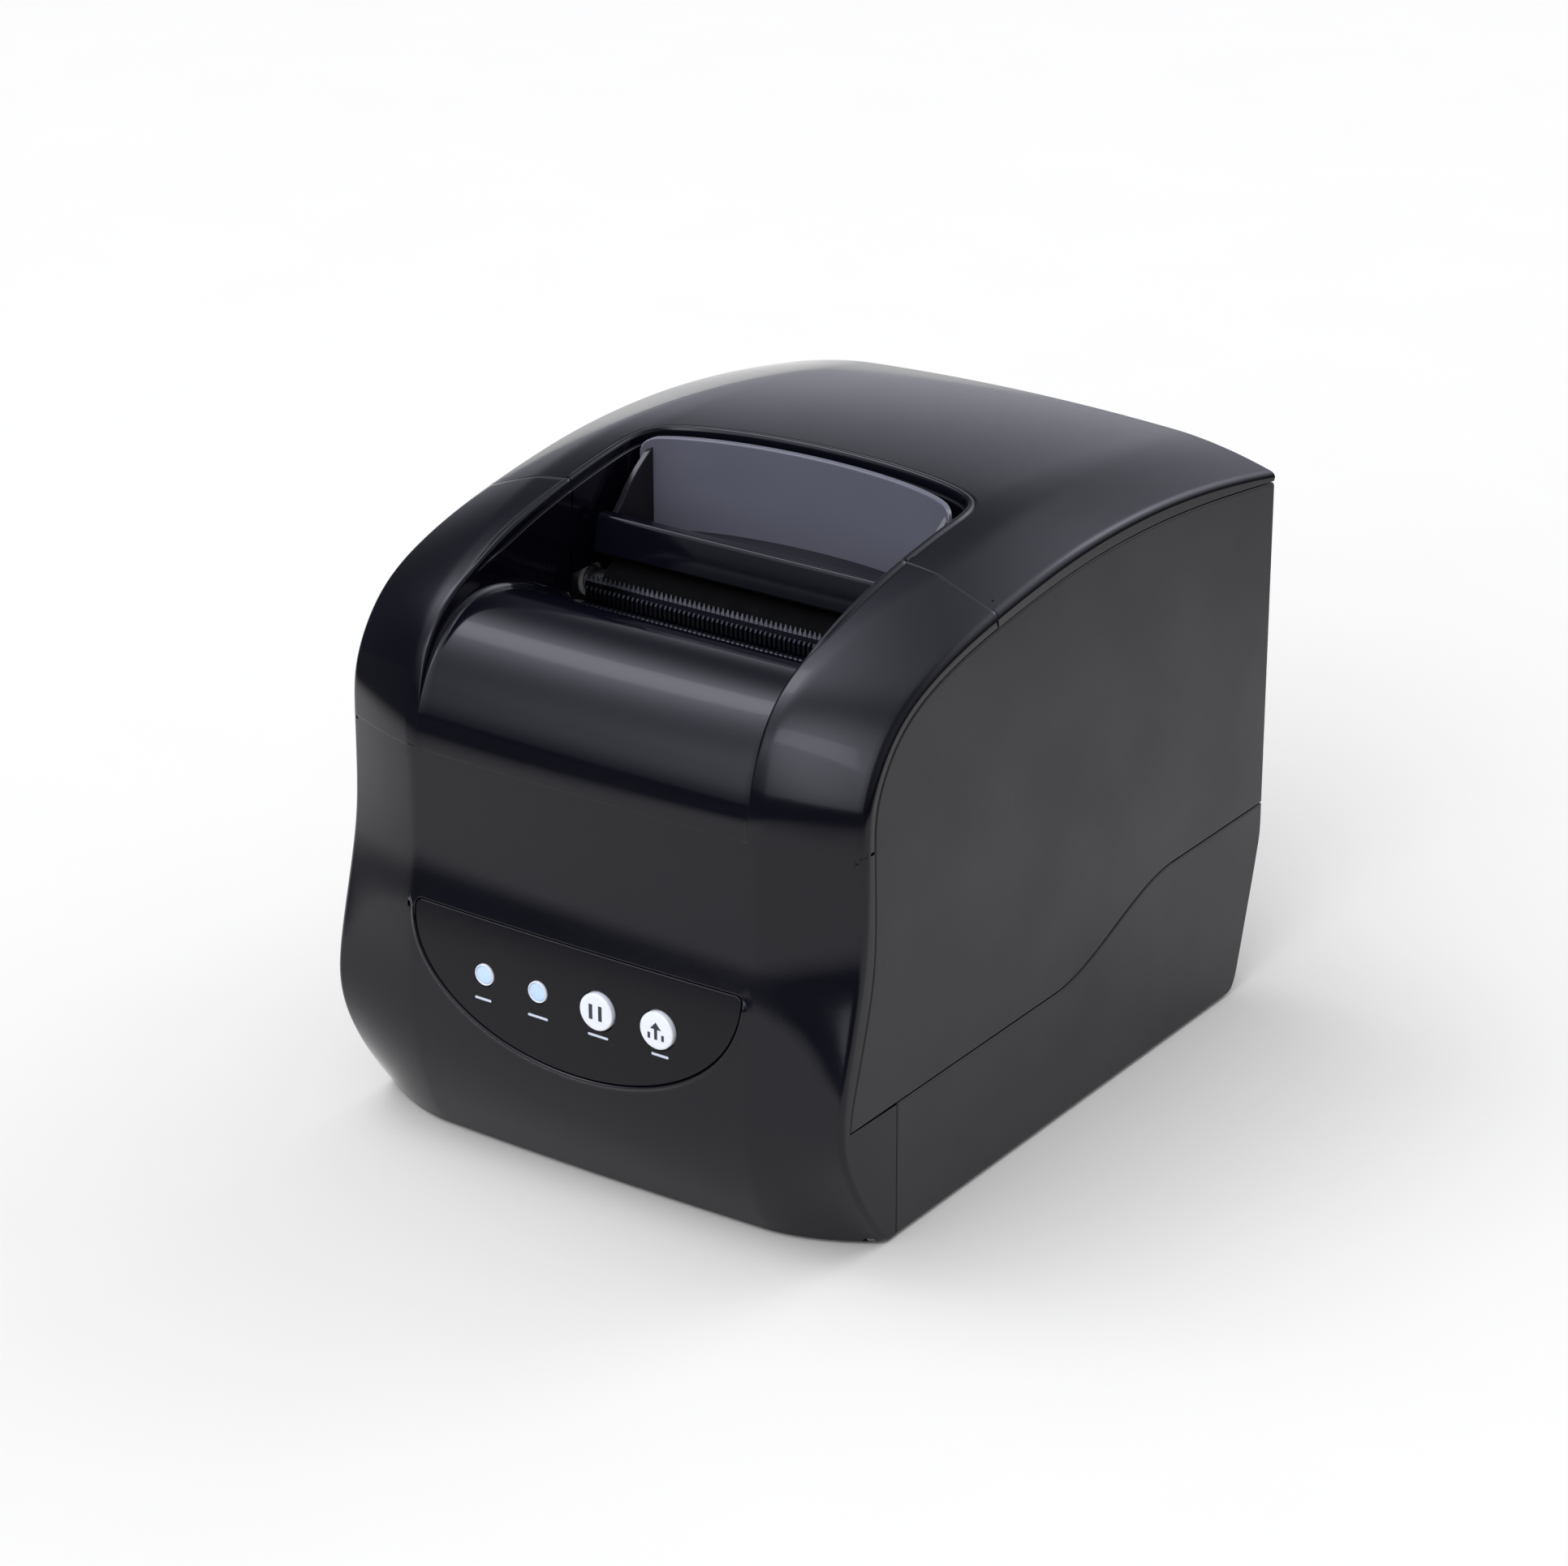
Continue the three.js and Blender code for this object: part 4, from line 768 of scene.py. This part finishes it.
def upper_front():
    """The rolled front, its ledge and the two arms beside it, from seam to seam.

    One half is built row by row: the rolled middle, the hollow foot of the arm's wall, the wall,
    its lip, the arm's top and the rounded rim. Then it is mirrored.
    """
    rows = np.concatenate([[9.02, 9.026, 9.045], np.arange(9.08, 15.93, 0.06), [15.955, 15.98, 15.99]])
    sink = np.zeros(len(rows))
    sink[:3], sink[-3:] = (0.6, 0.14, 0.0), (0.0, 0.12, 0.5)
    centre = np.linspace(0, WALL_X - 2.2, 24)
    near_rim = np.linspace(62.5, HALF_WIDTH - RIM_RADIUS, 10)
    band = np.concatenate([np.arange(WALL_X + 3.3, 62, 0.9), near_rim])
    arm_inside, side_inside = WALL_X + 2.3, HALF_WIDTH - SIDE_WALL
    rim = [sin_cos(a) for a in np.linspace(0, 90, 8)[1:]]
    half_outer, half_inner = [], []
    for row, down in zip(rows, sink):
        normal = skin_normal(row, WALL_X)
        roll_end = roll_point(row, WALL_X)
        top = skin(row, WALL_X)
        drop = roll_end - top
        height = max(float(np.linalg.norm(drop)), 1e-4)
        toward = -normal if height < 0.4 else drop / height
        lip = smoothstep(13.6, 14.9, row)
        edge = lip * np.array(LIP) + (1 - lip) * np.array(PLAIN_EDGE)
        shrink = min(1.0, height / 2.6)
        base = min(1.8, 0.45 * height)
        outer, inner = [], []
        roll_in = roll_end - normal * FRONT_WALL
        arm_in = under(row, arm_inside, FRONT_WALL)
        for x in centre:
            p = roll_point(row, x)
            outer.append((x, *(p - normal * down)))
            inner.append((x, *(p - normal * FRONT_WALL)))
        for a in np.linspace(0, 90, 7)[:-1]:  # hollow fillet at the wall's foot
            s, c = sin_cos(a)
            x = WALL_X - 0.65 * lip * shrink - base * (1 - s)
            p = roll_end - toward * base * (1 - c)
            outer.append((x, *(p - normal * down)))
            inner.append((arm_inside if a > 40 else x, *roll_in))
        low = base / height
        deep = edge[-1][1] * shrink / height
        for share in np.linspace(low, max(low, 1 - deep), 6):
            p = roll_end - drop * share
            outer.append((WALL_X + edge[-1][0] * shrink, *(p - normal * down)))
            inner.append((arm_inside, *(roll_in + (arm_in - roll_in) * share)))
        for distance, fall in edge[::-1]:
            x = WALL_X + distance * (shrink if distance < 0.01 else max(shrink, 0.25))
            p = skin(row, x) + toward * fall * shrink
            outer.append((x, *(p - normal * down)))
            inside_x = max(x, arm_inside)
            inner.append((inside_x, *under(row, inside_x, FRONT_WALL)))
        for x in band:
            outer.append((x, *under(row, x, down)))
            inside_x = min(x, side_inside)
            inner.append((inside_x, *under(row, inside_x, FRONT_WALL)))
        width = edge_width(row)
        for s, c in rim:
            x = HALF_WIDTH - RIM_RADIUS * (1 - s)
            outer.append((x - 0.3 * down, *under(row, x, RIM_RADIUS * (1 - c) + down)))
            inner.append((side_inside, *under(row, side_inside, FRONT_WALL)))
        for share in (0.3, 0.7, 0.93, 1.0):
            x = HALF_WIDTH - 0.3 * down - (0.2 if share == 1 else 0)
            outer.append((x, *under(row, HALF_WIDTH, RIM_RADIUS + (width - RIM_RADIUS) * share)))
            depth = max(FRONT_WALL + 0.02, width * share)
            inner.append((side_inside, *under(row, side_inside, depth)))
        half_outer.append(outer)
        half_inner.append(inner)
    outer, inner = np.array(half_outer), np.array(half_inner)
    mirror = np.array([-1, 1, 1])
    outer = np.concatenate([outer[:, :0:-1] * mirror, outer], 1)
    inner = np.concatenate([inner[:, :0:-1] * mirror, inner], 1)
    return between(outer, inner)


made("front_cover_upper_skin", upper_front(), "case", "gloss_shell", "front_cover_upper")

# ---------- lid ----------
U_REAR = [(47, -9), (46.1, -2.9), (42.2, 1.6), (32, 5), (17.5, 7.3)]
LID_FRONT = -32.75
SKIRT_Z = 136.3


def opening_edge():
    """The U's edge in (x, y), from its left front end round the back to its right front end."""
    right = [(47, LID_FRONT), (47, -27), (47, -21), (47, -15), *U_REAR]
    left = [(-x, y) for x, y in right]
    curve = smoothed(catmull_rom([*left, (0, 8.0), *right[::-1]], 24), 10)
    step = np.concatenate([[0], np.cumsum(np.linalg.norm(np.diff(curve, axis=0), axis=1))])
    even = np.linspace(0, step[-1], 240)
    return np.stack([np.interp(even, step, curve[:, k]) for k in (0, 1)], 1)


def raise_lid(flat, drop):
    return np.stack([flat[:, 0], flat[:, 1], lid_z(flat[:, 0], flat[:, 1]) - drop], 1)


def lid_cover():
    """The lid's shell: a plain front edge, the beaded opening, rounded sides and a rear skirt."""
    count = len(LIP)
    opening = opening_edge()
    side = np.linspace(LID_FRONT, REAR, 92)
    rear = np.linspace(HALF_WIDTH, -HALF_WIDTH, 101)[1:-1]
    front = np.linspace(HALF_WIDTH, WALL_X, 20)[1:-1]
    parts = [
        ("front", np.stack([-front, np.full(18, LID_FRONT)], 1)),
        ("opening", opening),
        ("front", np.stack([front[::-1], np.full(18, LID_FRONT)], 1)),
        ("side", np.stack([np.full(92, HALF_WIDTH), side], 1)),
        ("rear", np.stack([rear, np.full(99, REAR)], 1)),
        ("side", np.stack([np.full(92, -HALF_WIDTH), side[::-1]], 1)),
    ]
    kinds = np.concatenate([[k] * len(p) for k, p in parts])
    outline = np.vstack([p for _, p in parts])
    # Each edge's profile starts as far in as the lip's does, so that the rings match.
    reach = LIP[0][0]
    by_kind = {
        "front": stretched(fillet(0.3, reach), count),
        "opening": LIP,
        "side": stretched(fillet(RIM_RADIUS, reach), count),
        "rear": stretched(fillet(RIM_RADIUS, reach), count),
    }
    profile = np.array([by_kind[k] for k in kinds], float)
    direction = leftward(outline)
    n = len(outline)
    bottom = raise_lid(outline, 3.4)
    inner = raise_lid(outline + direction * 2.3, 3.4)
    row = solve_row(HALF_WIDTH, outline[:, 1], 0, 14.5, LAST_ROW)
    edge = under(row, HALF_WIDTH, edge_width(row))
    for i in range(n):
        x, y = outline[i]
        if kinds[i] == "side":
            bottom[i] = (x, *edge[i])
            inner[i] = (x - np.sign(x) * SIDE_WALL, *edge[i])
        elif kinds[i] == "rear":
            bottom[i] = (x, REAR, SKIRT_Z)
            inner[i] = (x, REAR - SIDE_WALL, SKIRT_Z)
        elif kinds[i] == "opening":
            level = 125 + 21.5 * float(smoothstep(-12, -4, y))
            bottom[i] = (*(outline[i] + direction[i] * LIP[-1][0]), level)
            inner[i] = (*(outline[i] + direction[i] * 1.6), level)
    return shell([(outline, profile, bottom, inner)], raise_lid, 3.0, 2.3, 2.0)


def barrel(x0, x1, radius, bore, centre, edge=0.2):
    """A hinge knuckle: a tube along x with eased ends."""
    n = 40
    loop = [(bore, x0), (radius - edge, x0), (radius, x0 + edge)]
    loop += [(radius, x1 - edge), (radius - edge, x1), (bore, x1)]
    points, faces = lathe(loop, (0, *centre), "x", n)
    faces = faces[:-2] + strips(np.arange(n) + 5 * n, np.arange(n))
    return points, faces


def block(x, y, z):
    """A plain web between two knuckles, hidden but for its edges."""
    points = np.array([[a, b, c] for a in x for b in y for c in z], float)
    return points, [(0, 1, 3, 2), (4, 6, 7, 5), (0, 4, 5, 1), (2, 3, 7, 6), (0, 2, 6, 4), (1, 5, 7, 3)]


lid_knuckles = []
for sign in (-1, 1):
    for near, far in ((36.6, 41.6), (50.4, 55.4)):
        x = sorted((sign * near, sign * far))
        lid_knuckles.append(barrel(*x, 2.2, 1.3, LID_PIVOT))
        lid_knuckles.append(block(x, (91.95, 94.2), (LID_PIVOT[1] + 1.9, 139)))
made("top_lid_skin", lid_cover(), "lid", "gloss_shell", "top_lid")
made("lid_knuckles", joined(*lid_knuckles), "lid", "gloss_shell", paint="satin_shell")

# ---------- window, cross bar and tear bar ----------
WINDOW_HALF = 43.6
PANE_HALF = 44.6
WINDOW_BOTTOM, WINDOW_TOP = 127.4, 152.4
BOW = [
    (-PANE_HALF, -6.9), (-38, -1.8), (-26, 2.2), (-13, 4.3), (0, 5),
    (13, 4.3), (26, 2.2), (38, -1.8), (PANE_HALF, -6.9),
]  # fmt: skip
BOW_TABLE = smoothed(catmull_rom(BOW, 24), 8)


def rounded_corners(points, radius, steps=5):
    """A closed outline with every corner turned into an arc."""
    p = np.asarray(points, float)
    out = []
    for before, at, after in zip(np.roll(p, 1, 0), p, np.roll(p, -1, 0)):
        u, v = before - at, after - at
        lu, lv = np.linalg.norm(u), np.linalg.norm(v)
        r = min(radius, 0.45 * lu, 0.45 * lv)
        for t in np.linspace(0, 1, steps):
            out.append(at + u / lu * r * (1 - t) ** 2 + v / lv * r * t**2)
    return np.array(out)


def prism(outline, axis, low, high, edge=0.25):
    """A closed outline pushed along an axis, its two ends eased by a small chamfer."""
    flat = np.asarray(outline, float)
    area = np.sum(flat[:, 0] * np.roll(flat[:, 1], -1) - np.roll(flat[:, 0], -1) * flat[:, 1])
    if area < 0:
        flat = flat[::-1]
    small = flat + leftward(flat) * edge
    rings = []
    for shape, at in ((small, low), (flat, low + edge), (flat, high - edge), (small, high)):
        level = np.full(len(flat), float(at))
        first, second = shape.T
        order = {"x": (level, first, second), "z": (first, second, level)}
        rings.append(np.stack(order[axis], 1))
    n = len(flat)
    i = np.arange(n)
    faces = [tuple(i), tuple(i + 3 * n)]
    for k in range(3):
        faces += strips(i + k * n, i + (k + 1) * n)
    return np.vstack(rings), faces


def pane():
    """The bowed upright pane: its upper corners are rounded."""
    half, waist, top = PANE_HALF, 140, WINDOW_TOP
    upper = rounded_corners([(half, waist), (half, top), (-half, top), (-half, waist)], 3.6, 9)
    upper = upper[(upper[:, 1] > waist + 1)]
    outline = np.vstack([[(-half, WINDOW_BOTTOM), (half, WINDOW_BOTTOM)], upper])
    outline = resampled(outline, 1.2, closed=True)

    def raised(flat, drop):
        y = np.interp(flat[:, 0], BOW_TABLE[:, 0], BOW_TABLE[:, 1]) - 1.6 + drop
        return np.stack([flat[:, 0], y, flat[:, 1]], 1)

    return shell([round_loop(outline, 0.4, 1.6, raised)], raised, 1.6, 0.8, 2.2)


def window_frame():
    """The wings, floor and low front wall that carry the pane."""
    slope = [(-21.8, 137.1), (-18.2, 140.6), (-16.5, 142.6), (-12.3, 146.2), (-6.3, 150.2)]
    rise = catmull_rom(slope, 8)
    wing = [(-6.3, WINDOW_BOTTOM), (-21.8, WINDOW_BOTTOM), *rise]
    wings = [prism(wing, "x", *sorted((s * 42.0, s * WINDOW_HALF)), 0.2) for s in (-1, 1)]
    bed = [(-43.6, -23), (43.6, -23), (43.6, -6), (26, 1.8), (0, 4.8), (-26, 1.8), (-43.6, -6)]
    floor = prism(bed, "z", WINDOW_BOTTOM, WINDOW_BOTTOM + 1.4)
    front = prism([(-23, 127.4), (-21.6, 127.4), (-21.6, 135), (-23, 135)], "x", -43.6, 43.6)
    return joined(*wings, floor, front)


# The pane's grey is partly painted reflection; the wings' near black is painted shade.
made("lid_window_pane", pane(), "lid", "smoked_window", "lid_window")
made("lid_window_frame", window_frame(), "lid", "smoked_window", paint="smoked_wing_painted_shade")

BAR = [
    (-23.6, 138.9), (-26.3, 138.95), (-26.75, 138.8), (-27.05, 138.3), (-28.9, 130.2),
    (-28.3, 129.6), (-26.9, 129.9), (-25.1, 136.9), (-23.6, 137.1),
]  # fmt: skip
cross_bar = prism(rounded_corners(BAR, 0.35), "x", -WINDOW_HALF, WINDOW_HALF)
made("lid_cross_bar_rounded", cross_bar, "lid", "gloss_shell", "lid_cross_bar")


TEAR_HALF, TEETH = 42.0, 61
TOOTH_PITCH = 2 * TEAR_HALF / TEETH
TOOTH_TIP, TOOTH_ROOT = 126.4, 125.2


def tear_blade():
    """The upright blade behind the teeth, a plain eased strip along x."""
    outline = [(-33.75, 114.7), (-33.75, TOOTH_ROOT), (-34.55, TOOTH_ROOT - 0.3), (-34.55, 114.7)]
    return prism(outline, "x", -TEAR_HALF, TEAR_HALF, 0.1)


def tear_teeth():
    """Pointed teeth along the blade's upper edge, each a slim wedge."""

    def ring(centre, half, front, rear, z):
        left, right = centre - half, centre + half
        return [(left, front, z), (right, front, z), (right, rear, z), (left, rear, z)]

    corners = np.arange(4)
    faces = [(3, 2, 1, 0), (4, 5, 6, 7), *strips(corners, corners + 4)]
    parts = []
    for i in range(TEETH):
        centre = -TEAR_HALF + (i + 0.5) * TOOTH_PITCH
        foot = ring(centre, 0.4 * TOOTH_PITCH, -34.62, -33.75, TOOTH_ROOT - 0.5)
        tip = ring(centre, 0.12, -34.3, -34.05, TOOTH_TIP)
        parts.append((np.array(foot + tip), faces))
    return joined(*parts)


def tear_ribs():
    """The comb of short upright ribs under the teeth, one to each tooth."""
    parts = []
    for i in range(TEETH):
        centre = -TEAR_HALF + (i + 0.5) * TOOTH_PITCH
        side = [(-34.5, 119.4), (-35.1, 119.8), (-35.1, 122.7), (-34.5, 123.5)]
        parts.append(prism(side, "x", centre - 0.28, centre + 0.28, 0.08))
    return joined(*parts)


made("tear_blade", tear_blade(), "case", "tear_steel", "tear_bar")
# Lighter steel on the teeth is a painted highlight.
made("tear_teeth", tear_teeth(), "case", "tear_steel", paint="tooth_steel_painted_highlight")
made("tear_ribs", tear_ribs(), "case", "tear_steel")

# ---------- side panels and base ----------
REAR_EDGE = [(REAR, 40), (91.8, 29.8), (86.9, 12.3), (84.2, 3), (82, 0)]


def seam_height(y):
    t = np.clip((np.asarray(y, float) + 4) / 54, 0, 1)
    return SEAM_Z + SEAM_RISE * t * t * (3 - 2 * t)


def side_slab(outline, sign, thickness=2.3):
    def raised(flat, drop):
        x = np.broadcast_to(sign * (HALF_WIDTH - drop), len(flat))
        return np.stack([x, flat[:, 0], flat[:, 1]], 1)

    loop = round_loop(outline, 0.4, thickness, raised)
    return shell([loop], raised, thickness - 0.001, 0.8, 14.0)


def side_panel(sign):
    rows = np.concatenate([np.arange(4.02, 16, 0.1), np.arange(16, LAST_ROW + 0.01, 0.07)])
    top = under(rows, HALF_WIDTH, edge_width(rows) + GAP)
    floor_z = SEAM_Z + GAP / 2
    start = np.interp(floor_z, top[:60, 1], top[:60, 0])
    top = top[(top[:, 1] > floor_z + 0.3) & (top[:, 0] < REAR - 0.6)]
    y = np.linspace(start, REAR, 150)
    seam = np.stack([y, seam_height(y) + GAP / 2], 1)
    corner_z = top[-1][1] - 0.1
    outline = np.vstack([seam, [[REAR, corner_z - 0.8], [REAR - 0.5, corner_z]], top[::-1]])
    return side_slab(outline, sign)


def base_side(sign):
    front = BASE_FRONT + GAP / 2
    y = np.linspace(front, REAR, 150)
    seam = np.stack([y, seam_height(y) - GAP / 2], 1)
    back = rounded_corners([(REAR, 60), *REAR_EDGE, (60, 0)], 3.0)
    back = back[(back[:, 1] < 44) & (back[:, 0] > 70)]
    outline = np.vstack([[[front, 0]], back[::-1], seam[::-1]])
    return side_slab(outline, sign)


for sign, side in ((-1, "left"), (1, "right")):
    panel_node = f"side_panel_{side}"
    made(panel_node + "_skin", side_panel(sign), "case", "satin_shell", panel_node)
    made(f"base_side_{side}", base_side(sign), "case", "satin_shell", "lower_base")


# ---------- pieces kept from the CAD, with their edges eased ----------
def cad_copy(node):
    bm = bmesh.new()
    bm.from_mesh(frame["nodes"][node].data)
    bm.transform(frame["nodes"][node].matrix_world)
    bmesh.ops.remove_doubles(bm, verts=bm.verts, dist=2e-6)
    return bm


def eased(bm, width):
    """Merges flat triangles into faces and rounds every sharp edge."""
    bmesh.ops.dissolve_limit(bm, angle_limit=math.radians(1.0), verts=bm.verts, edges=bm.edges)
    sharp = [e for e in bm.edges if len(e.link_faces) == 2 and e.calc_face_angle(0) > math.radians(40)]
    bmesh.ops.bevel(
        bm,
        geom=sharp,
        offset=width,
        offset_type="OFFSET",
        segments=2,
        profile=0.5,
        affect="EDGES",
        clamp_overlap=True,
    )
    bmesh.ops.recalc_face_normals(bm, faces=bm.faces)


INNER_BASE_HALF = 0.07115


def inner_base():
    """The base's floor, rear wall and connector mouth, between the two sides."""
    bm = cad_copy("lower_base")
    for sign in (-1, 1):
        everything = bm.verts[:] + bm.edges[:] + bm.faces[:]
        plane = {"plane_co": (sign * INNER_BASE_HALF, 0, 0), "plane_no": (sign, 0, 0)}
        cut = bmesh.ops.bisect_plane(bm, geom=everything, clear_outer=True, **plane)
        edges = [g for g in cut["geom_cut"] if isinstance(g, bmesh.types.BMEdge)]
        bmesh.ops.edgenet_fill(bm, edges=edges)
    eased(bm, 0.0003)
    return bm


NO_SHARP_EDGES = 180.0
shown = {n for o in bpy.data.objects for n in o.get("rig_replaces", [])}


def mesh_of(bm, name):
    mesh = bpy.data.meshes.new(name)
    bm.to_mesh(mesh)
    bm.free()
    return mesh


def flattened(obj):
    """Shades wide flat faces flat: each corner's normal follows the largest face around it."""
    mesh = obj.data
    normals = np.zeros((len(mesh.vertices), 3))
    for face in mesh.polygons:
        normals[list(face.vertices)] += np.array(face.normal) * face.area**2
    lengths = np.linalg.norm(normals, axis=1, keepdims=True)
    normals = normals / np.where(lengths > 0, lengths, 1)
    mesh.normals_split_custom_set_from_vertices([tuple(n) for n in normals])


rear_base = mesh_of(inner_base(), "base_floor_and_rear")
dressed("base_floor_and_rear", rear_base, "satin_shell", "case", ["lower_base"])
# Nodes with very fine shapes, which easing would spoil: these keep the CAD's own mesh.
TINY = ("head_spring", "gear", "pinion", "idler", "key_board", "main_board")
for node in sorted(frame["nodes"]):
    if node in shown:
        continue
    slot_name = SLOT_OF[node]
    if any(word in node for word in TINY):
        piece = frame["nodes"][node]
        piece.data.materials.clear()
        piece.data.materials.append(PAINT[slot_name])
        continue
    bm = cad_copy(node)
    eased(bm, 0.00025)
    mesh = mesh_of(bm, node + "_eased")
    body = BODY_OF[node]
    piece = dressed(mesh.name, mesh, slot_name, body, [node], NO_SHARP_EDGES)
    flattened(piece)


# ---------- studio ----------
VIEW_TURN = math.radians(35.0)  # the camera stands this far round from the front


def sheet_material():
    """Pale paper under the printer whose colour darkens to the sides and towards the camera, outside
    the picture.
    """
    paper_white, dull = (0.77, 0.755, 0.67), {"Specular IOR Level": 0.2}
    material = surface("floor_sheet", paper_white, 0.85, 0.05, 0.01, 12, 400, 0.03, None, dull)
    nodes, links = material.node_tree.nodes, material.node_tree.links
    principled = nodes["Principled BSDF"]
    paper = principled.inputs["Base Color"].links[0].from_socket
    coords = nodes.new("ShaderNodeTexCoord")
    turned = fresh(nodes, "ShaderNodeMapping", {"Rotation": (0, 0, -VIEW_TURN)})
    links.new(coords.outputs["Object"], turned.inputs["Vector"])
    axes = nodes.new("ShaderNodeSeparateXYZ")
    links.new(turned.outputs["Vector"], axes.inputs["Vector"])

    def maths(operation, a, b):
        node = fresh(nodes, "ShaderNodeMath", operation=operation)
        for socket, value in zip(node.inputs, (a, b)):
            if isinstance(value, float):
                socket.default_value = value
            else:
                links.new(value, socket)
        return node.outputs["Value"]

    half_width = maths("ADD", maths("MULTIPLY", axes.outputs["Y"], 0.135), 0.275)
    sideways = maths("DIVIDE", maths("ABSOLUTE", axes.outputs["X"], 0.0), half_width)
    kept = ranged(nodes, links, sideways, 1.3, 1.75, 1.0, 0.06)
    ahead = ranged(nodes, links, axes.outputs["Y"], -0.55, -0.33, 0.06, 1.0)
    shade = fresh(nodes, "ShaderNodeVectorMath", operation="SCALE")
    links.new(paper, shade.inputs[0])
    links.new(maths("MULTIPLY", kept, ahead), shade.inputs["Scale"])
    links.new(shade.outputs["Vector"], principled.inputs["Base Color"])
    return material


def floor_sheet():
    """A large flat sheet just under the feet."""
    half = 6000.0
    corners = [(x, y, -1.0) for x, y in ((-half, -half), (half, -half), (half, half), (-half, half))]
    mesh = bpy.data.meshes.new("floor_sheet")
    mesh.from_pydata([tuple(p) for p in place(corners)], [], [(0, 1, 2, 3)])
    mesh.materials.append(sheet_material())
    obj = in_scene("floor_sheet", mesh)


floor_sheet()


def softbox(name, direction, distance, size, power, colour):
    """A rectangular light that faces the printer's middle."""
    light = bpy.data.lights.new(name, "AREA")
    light.shape = "RECTANGLE"
    light.size, light.size_y = size
    light.energy = power
    light.color = colour
    obj = in_scene(name, light)
    d = Vector(direction).normalized()
    obj.location = Vector((0, 0, 0.09)) + d * distance
    obj.rotation_mode = "QUATERNION"
    obj.rotation_quaternion = d.to_track_quat("Z", "Y")


def aimed(azimuth, elevation):
    """Unit vector towards a light: azimuth from the printer's front towards its right, in degrees."""
    (sin_az, cos_az), (rise, level) = sin_cos(azimuth), sin_cos(elevation)
    return (sin_az * level, -cos_az * level, rise)


softbox("softbox_front", aimed(8, 36), 1.6, (0.75, 0.4), 0.9, (0.93, 0.96, 1.12))
softbox("softbox_left", aimed(-82, 60), 1.5, (0.45, 0.55), 0.9, (0.96, 0.97, 1.06))
softbox("softbox_rear", aimed(155, 34), 1.6, (0.4, 0.4), 0.5, (0.93, 0.96, 1.12))

# Soft glows in the studio's walls: azimuth, elevation, spread in degrees, brightness.
GLOWS = [
    (8, 33, 14, 3.0),
    (16, 52, 14, 1.6),
    (4, 9, 11, 1.9),
    (-28, 22, 12, 1.5),
    (-45, 48, 12, 0.9),
    (-82, 58, 13, 3.0),
    (-100, 68, 12, 1.0),
    (-130, 80, 18, 1.2),
    (150, 30, 14, 1.6),
    (166, 36, 12, 1.7),
    (180, 20, 14, 0.7),
    (-147, 4, 12, 0.6),
    (95, 20, 24, 0.4),
]
GLOW_COLOUR = (0.95, 0.97, 1.10)
AMBIENT = (0.07, 0.07, 0.08)


def studio_walls():
    world = bpy.data.worlds.new("studio")
    bpy.context.scene.world = world
    world.use_nodes = True
    nodes, links = world.node_tree.nodes, world.node_tree.links
    coords = nodes.new("ShaderNodeTexCoord")
    total = None
    for azimuth, elevation, spread, brightness in GLOWS:
        sharpness = 1 / math.radians(spread) ** 2
        towards = {1: aimed(azimuth, elevation)}
        facing = fresh(nodes, "ShaderNodeVectorMath", towards, "DOT_PRODUCT")
        falloff = fresh(nodes, "ShaderNodeMath", {1: sharpness, 2: -sharpness}, "MULTIPLY_ADD")
        glow = fresh(nodes, "ShaderNodeMath", operation="EXPONENT")
        colour = {1: [brightness * c for c in GLOW_COLOUR], 2: AMBIENT}
        added = fresh(nodes, "ShaderNodeVectorMath", colour, "MULTIPLY_ADD")
        links.new(coords.outputs["Generated"], facing.inputs[0])
        links.new(facing.outputs["Value"], falloff.inputs[0])
        links.new(falloff.outputs["Value"], glow.inputs[0])
        links.new(glow.outputs["Value"], added.inputs[0])
        if total:
            links.new(total, added.inputs[2])
        total = added.outputs["Vector"]
    links.new(total, nodes["Background"].inputs["Color"])


studio_walls()

# ---------- camera ----------
AZIMUTH, ELEVATION = 35.01, 23.744
sin_roll, cos_roll = sin_cos(-0.178)
back = np.array(aimed(AZIMUTH, ELEVATION))
sin_turn, cos_turn = sin_cos(AZIMUTH)
level_right = np.array([cos_turn, sin_turn, 0.0])
level_up = np.cross(back, level_right)
right = cos_roll * level_right + sin_roll * level_up
up = np.cross(back, right)
camera = bpy.data.cameras.new("camera")
camera.sensor_width = 36.0
camera.lens = 108.89
camera_object = in_scene("camera", camera)
spot = place(right * -6.884 + up * 63.655 + back * 1189.15)
stance = np.eye(4)
stance[:3] = np.stack([right, up, back, spot], 1)
camera_object.matrix_world = Matrix(stance.tolist())
bpy.context.scene.camera = camera_object
bpy.context.scene.view_settings.view_transform = "Standard"
